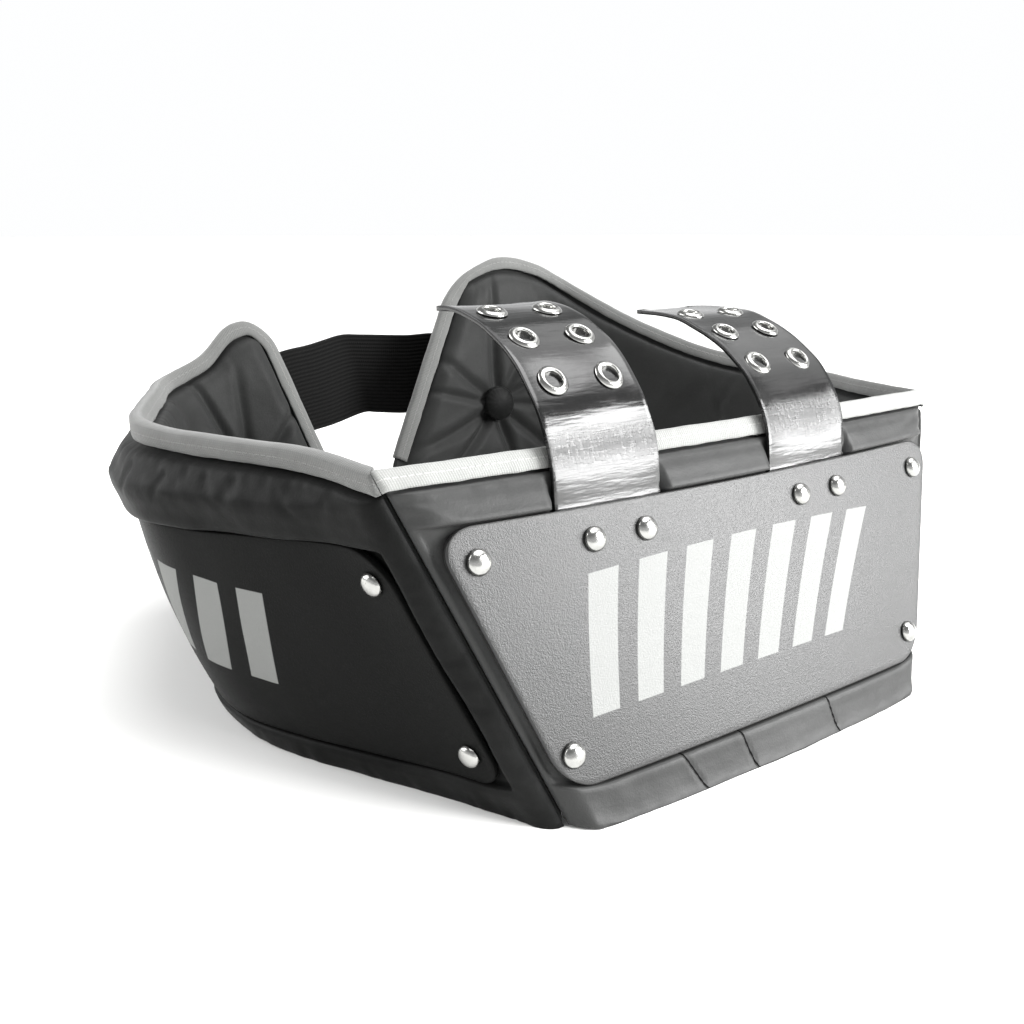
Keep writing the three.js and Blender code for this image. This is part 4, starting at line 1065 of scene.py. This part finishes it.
def strapPiece(side, path, centre, seed):
    stations = np.concatenate([path[0], straps["shown"] - np.array([0.15, 0.5, 1.1, 2.0])])
    stations = np.unique(stations[stations <= straps["shown"]])
    near = np.maximum(straps["corner"] - (straps["shown"] - stations), 0)
    half = straps["width"] / 2 - (straps["corner"] - np.sqrt(straps["corner"] ** 2 - near**2))
    across = np.linspace(-1, 1, straps["lines"])
    x = centre + half[:, None] * across[None, :]
    s = np.repeat(stations[:, None], straps["lines"], 1)
    rng = np.random.default_rng(seed)
    # rolled vinyl keeps faint waves, and curls a little along its edges
    depth = np.zeros_like(x)
    for size, amount in ((38, 0.2), (21, 0.1), (13, 0.04)):
        phase = rng.uniform(0, 6, 2)
        bent = 0.5 * np.sin(2 * math.pi * x / 60 + phase[1])
        depth += amount * np.sin(2 * math.pi * s / size + phase[0] + bent)
    free = np.clip(s / 20, 0, 1)
    depth = depth * free + 0.5 * free * (across[None, :] ** 4)
    half = straps["thick"] / 2
    outside, inside = (onStrap(path, x, s, depth + off) for off in (half, -half))
    points = np.concatenate([outside, inside[:, ::-1]], 1)
    lay = np.concatenate([x - centre, (x - centre)[:, ::-1], (x - centre)[:, :1]], 1)
    uv = np.stack([lay, np.repeat(stations[:, None], lay.shape[1], 1)], -1)
    piece = gridPiece(side + "_vinyl", points, uv)
    bevelEdges(piece, 0.45, 2)
    finishPiece(piece, vinyl, "straps", side + "_strap")


strapSet = [
    ("left", straps["centres"][0], strapPath(straps["left"])),
    ("right", straps["centres"][1], strapPath(straps["right"])),
]
for (side, centre, path), seed in zip(strapSet, (31, 44)):
    strapPiece(side, path, centre, seed)
print("stage: straps cut")

eyelets = {"first": 43, "pitch": 20, "rows": 3, "spread": 23.5}
# rolled ring with a hollow crown, both faces of the strap
crown = [
    (3.1, 0), (3.1, 1.5), (3.25, 1.95), (3.6, 2.18), (4.1, 2.2), (4.7, 1.95), (5.25, 1.5),
    (5.58, 1.12), (5.6, 0.95), (5.4, 0.88),
]
ringProfile = crown + [(3.9, 0.86), (3.9, -0.86)] + [(r, -y) for r, y in crown[::-1]]
for side, centre, path in strapSet:
    for index in range(2 * eyelets["rows"]):
        x = centre + (index % 2 - 0.5) * eyelets["spread"]
        s = eyelets["first"] + index // 2 * eyelets["pitch"]
        lean = float(np.interp(s, path[0], path[3]))
        axis = (0, -math.cos(lean), math.sin(lean))
        piece = lathePiece(f"{side}_ring_{index + 1}", ringProfile, 56)
        standOn(piece, onStrap(path, x, s, 0.2), axis, index + 1)
        finishPiece(piece, ringNickel, "eyelets", f"{side}_eyelet_{index + 1}")
print("stage: eyelets clenched")

rivets = {
    "radius": 4.2,
    "dome": 2.6,
    "shank": 2.0,
    "length": 2.5,
    "rest": 0.45,  # how far the head's rim stands off the plate
    "inset": 12,
    "endInset": 9,
    "pairDrop": 10.5,
    "pairSpread": 22,
}


def domeProfile(radius, dome, rest, shank, length):
    # half a section of a domed head and its shank, in mm, from the head's rim at 0
    profile = [(0, -length), (shank, -length), (shank, -rest - 0.1), (radius * 0.86, -rest + 0.02)]
    profile += [(radius * 0.98, -rest + 0.12), (radius * 1.0, 0.12), (radius * 0.985, 0.34)]
    for angle in np.linspace(8, 90, 14):
        a = math.radians(angle)
        profile.append((radius * 0.975 * math.cos(a), 0.30 + (dome - 0.30) * math.sin(a)))
    profile[-1] = (0, dome)
    return profile


def cornerRivets(side, *endNames):
    panel, ends, edges = sheets[side][:3]
    places = []
    for level in ("low", "top"):
        for end, endName in enumerate(endNames):
            run = ends[end] + asRun(panel, rivets["endInset"]) * (-1 if end else 1)
            low, high = edges(run)
            inset = rivets["inset"] / float(panel.height(run))
            rise = low + inset if level == "low" else high - inset
            places.append((f"{side}_rivet_{level}_{endName}", panel, run, rise))
    return places


rivetPlaces = cornerRivets("back", "left", "right")
for side, centre, _ in strapSet:
    for i, offset in enumerate((-rivets["pairSpread"] / 2, rivets["pairSpread"] / 2)):
        rise = float(backEdges(0.5)[1] - rivets["pairDrop"] / back.height(0.5))
        run = backRunAt(centre + offset, rise)
        rivetPlaces.append((f"{side}_strap_rivet_{i + 1}", back, run, rise))
rivetPlaces += cornerRivets("left", "front", "rear") + cornerRivets("right", "rear", "front")
profile = domeProfile(*(rivets[key] for key in ("radius", "dome", "rest", "shank", "length")))
onPlate = plates["seat"] + plates["thick"] + rivets["rest"]
for count, (node, panel, run, rise) in enumerate(rivetPlaces):
    piece = lathePiece(node + "_head", profile)
    standOn(piece, panel.skin(run, rise, onPlate), panel.outward(run, rise), count)
    finishPiece(piece, nickel, "rivets", node)

buttons = {"radius": 10, "dome": 3.6, "rest": 1.3}
for side in ("left", "right"):
    panel, run = sheets[side][0], sheets[side][4]
    profile = domeProfile(buttons["radius"], buttons["dome"], 0.3, 2.0, 1.0)
    piece = lathePiece(side + "_tuft_button", profile, 64)
    # cloth pulled over the button gathers towards its edge
    for vertex in piece.data.vertices:
        far = math.hypot(vertex.co.x, vertex.co.y) / 0.01
        turn = math.atan2(vertex.co.y, vertex.co.x)
        vertex.co.z += 0.00022 * far**3 * math.sin(17 * turn + 2 * math.sin(3 * turn))
    rise, edge = pads["tuftRise"], asRun(panel, buttons["radius"])
    away = np.linalg.norm(panel.sheet(run + edge, rise) - panel.sheet(run, rise))
    sunk = 1 - 0.62 * math.exp(-4 * (away / pads["tuftReach"]) ** 2)
    seat = -(pads["puffIn"] * sunk + 1.3 + buttons["rest"])
    standOn(piece, panel.skin(run, rise, seat - 0.4), -panel.outward(run, rise))
    finishPiece(piece, nylon, "buttons", side + "_button")
print("stage: rivets and buttons set")

belt = {
    "width": 46,
    "thick": 2,
    "off": 9.5 + 1.3 + 0.3,  # off the flaps' sheet, clear of the pads
    "stations": 170,
    "lines": 41,
    # on the flaps: two runs from the rear seam, and the rise
    "leftSpan": (0.84, 0.93, 0.62),
    "rightSpan": (0.93, 0.85, 0.47),
    # between them: shares of halfWidth, depth and sideHeight, and the slant
    "rows": [
        (-0.27, 1.042, 0.833, 0.24),
        (-0.15, 1.066, 0.854, 0.26),
        (-0.03, 1.095, 0.882, 0.27),
        (0, 1.098, 0.885, 0.27),
        (0.04, 1.094, 0.880, 0.15),
        (0.16, 1.082, 0.866, -0.1),
        (0.27, 1.07, 0.861, -0.25),
    ],
}


def beltPiece():
    ups = np.array([1, 0.5, 0, -0.5, -1])
    rows, outs = [], []

    def ended(panel, toRun, start, stop, rise):
        for share in (0, 0.5, 1):
            run = toRun(start + (stop - start) * share)
            half = belt["width"] / 2 / float(panel.height(run))
            rows.append(panel.skin(run, rise + ups * half, belt["off"]))
            outs.append(panel.outward(run, rise))

    ended(left, leftRun, *belt["leftSpan"])
    for x, y, z, slant in belt["rows"]:
        point = np.array([x * ring["halfWidth"], y * ring["depth"], z * ring["sideHeight"]])
        lean = np.stack([-ups * slant * belt["width"] / 2, 0 * ups, ups * belt["width"] / 2], -1)
        rows.append(point + lean)
        outs.append(np.array([0.0, 1, 0]))
    ended(right, rightRun, *belt["rightSpan"])
    rows, outs = np.array(rows), np.array(outs)
    walked = walkedAlong(rows[:, 2])
    length = np.linspace(0, walked[-1], belt["stations"])
    fine = np.interp(length, walked, np.arange(len(rows))) / (len(rows) - 1)
    coarse = np.stack([splineAt(rows[:, k], fine) for k in range(len(ups))], 1)
    out = unit(splineAt(outs, fine))
    # across the belt, from its five lines to a fine grid with rolled edges
    v = np.linspace(0, len(ups) - 1, belt["lines"])
    low = np.minimum(np.floor(v).astype(int), len(ups) - 2)
    part = (v - low)[None, :, None]
    face = coarse[:, low] * (1 - part) + coarse[:, low + 1] * part
    fromMiddle = np.abs(np.linspace(-1, 1, belt["lines"]))[None, :]
    wave = 0.35 * np.sin(length / 9.0)[:, None] * fromMiddle**3
    rolled = 0.6 * (fromMiddle > 0.97)
    inside = face + out[:, None, :] * (wave + rolled)[..., None]
    outside = face + out[:, None, :] * (belt["thick"] - rolled + wave)[..., None]
    points = np.concatenate([inside, outside[:, ::-1]], 1)
    lay = np.linspace(0, belt["width"], belt["lines"])
    lay = np.concatenate([lay, lay[::-1], lay[:1]])
    uv = np.stack(np.broadcast_arrays(length[:, None], lay[None, :]), -1)
    piece = gridPiece("front_elastic", points, uv)
    finishPiece(piece, elastic, "belt", "front_belt")
    return piece, walked[-1] * 0.001


beltMesh, beltLength = beltPiece()
print("stage: belt stretched")

studio = {
    "floor": (0.88, 0.88, 0.87),
    "floorSize": 80,
    "sky": (0.22, 0.6, 1.0, 0.36),  # two heights, and the strength at each
    "sun": 3.0,
    # name, place, aim, width, height, power
    "lights": [
        ("low_key", (0.95, -1.25, 0.56), (0.0, -0.12, 0.09), 0.9, 1.05, 66),
        ("left_fill", (-1.1, 0.75, 0.85), (-0.1, 0.0, 0.0), 1.2, 1.2, 20),
        ("top_right", (0.75, 0.0, 1.35), (0.05, 0.0, 0.08), 1.3, 1.3, 8),
    ],
}


def studioFloor():
    bpy.ops.mesh.primitive_plane_add(size=studio["floorSize"])
    floor = bpy.context.object
    floor.name = "studio_floor"
    paint = Paint("floor_paper")
    tone = paint.mix(paint.noise(700, 3), studio["floor"], tuple(c * 0.98 for c in studio["floor"]))
    paint.shade({"Base Color": tone, "Roughness": 0.9, "Specular IOR Level": 0.1})
    floor.data.materials.append(paint.material)


def studioLights():
    world = bpy.data.worlds.new("studio_world")
    bpy.context.scene.world = world
    world.use_nodes = True
    nodes, links = world.node_tree.nodes, world.node_tree.links
    sky = nodes["Background"]
    kinds = ("TexCoord", "SeparateXYZ", "MapRange")
    coordinate, split, spread = (nodes.new("ShaderNode" + kind) for kind in kinds)
    links.new(coordinate.outputs["Generated"], split.inputs[0])
    links.new(split.outputs[2], spread.inputs["Value"])
    for key, value in zip(("From Min", "From Max", "To Min", "To Max"), studio["sky"]):
        spread.inputs[key].default_value = value
    links.new(spread.outputs[0], sky.inputs["Strength"])
    sky.inputs["Color"].default_value = (0.99, 0.995, 1.0, 1)
    sun = bpy.data.lights.new("overhead", "SUN")
    sun.energy, sun.angle = studio["sun"], math.radians(50)
    addObject("overhead", sun, turn=(math.radians(8), math.radians(14), 0))
    for name, place, aim, width, height, power in studio["lights"]:
        light = bpy.data.lights.new(name, "AREA")
        light.shape, light.size, light.size_y, light.energy = "RECTANGLE", width, height, power
        turn = (Vector(aim) - Vector(place)).to_track_quat("-Z", "Y").to_euler()
        addObject(name, light, place, turn)


studioFloor()
studioLights()

turn = (math.radians(73.4), 0, math.radians(-35.4))
camera = addObject("camera", bpy.data.cameras.new("camera"), (-0.26754, -0.36773, 0.181), turn)
camera.data.sensor_width, camera.data.lens, camera.data.shift_y = 36, 35.16, 0.0176
camera.data.clip_start = 0.01
bpy.context.scene.camera = camera
bpy.context.scene.view_settings.view_transform = "Standard"
print("stage: studio lit")
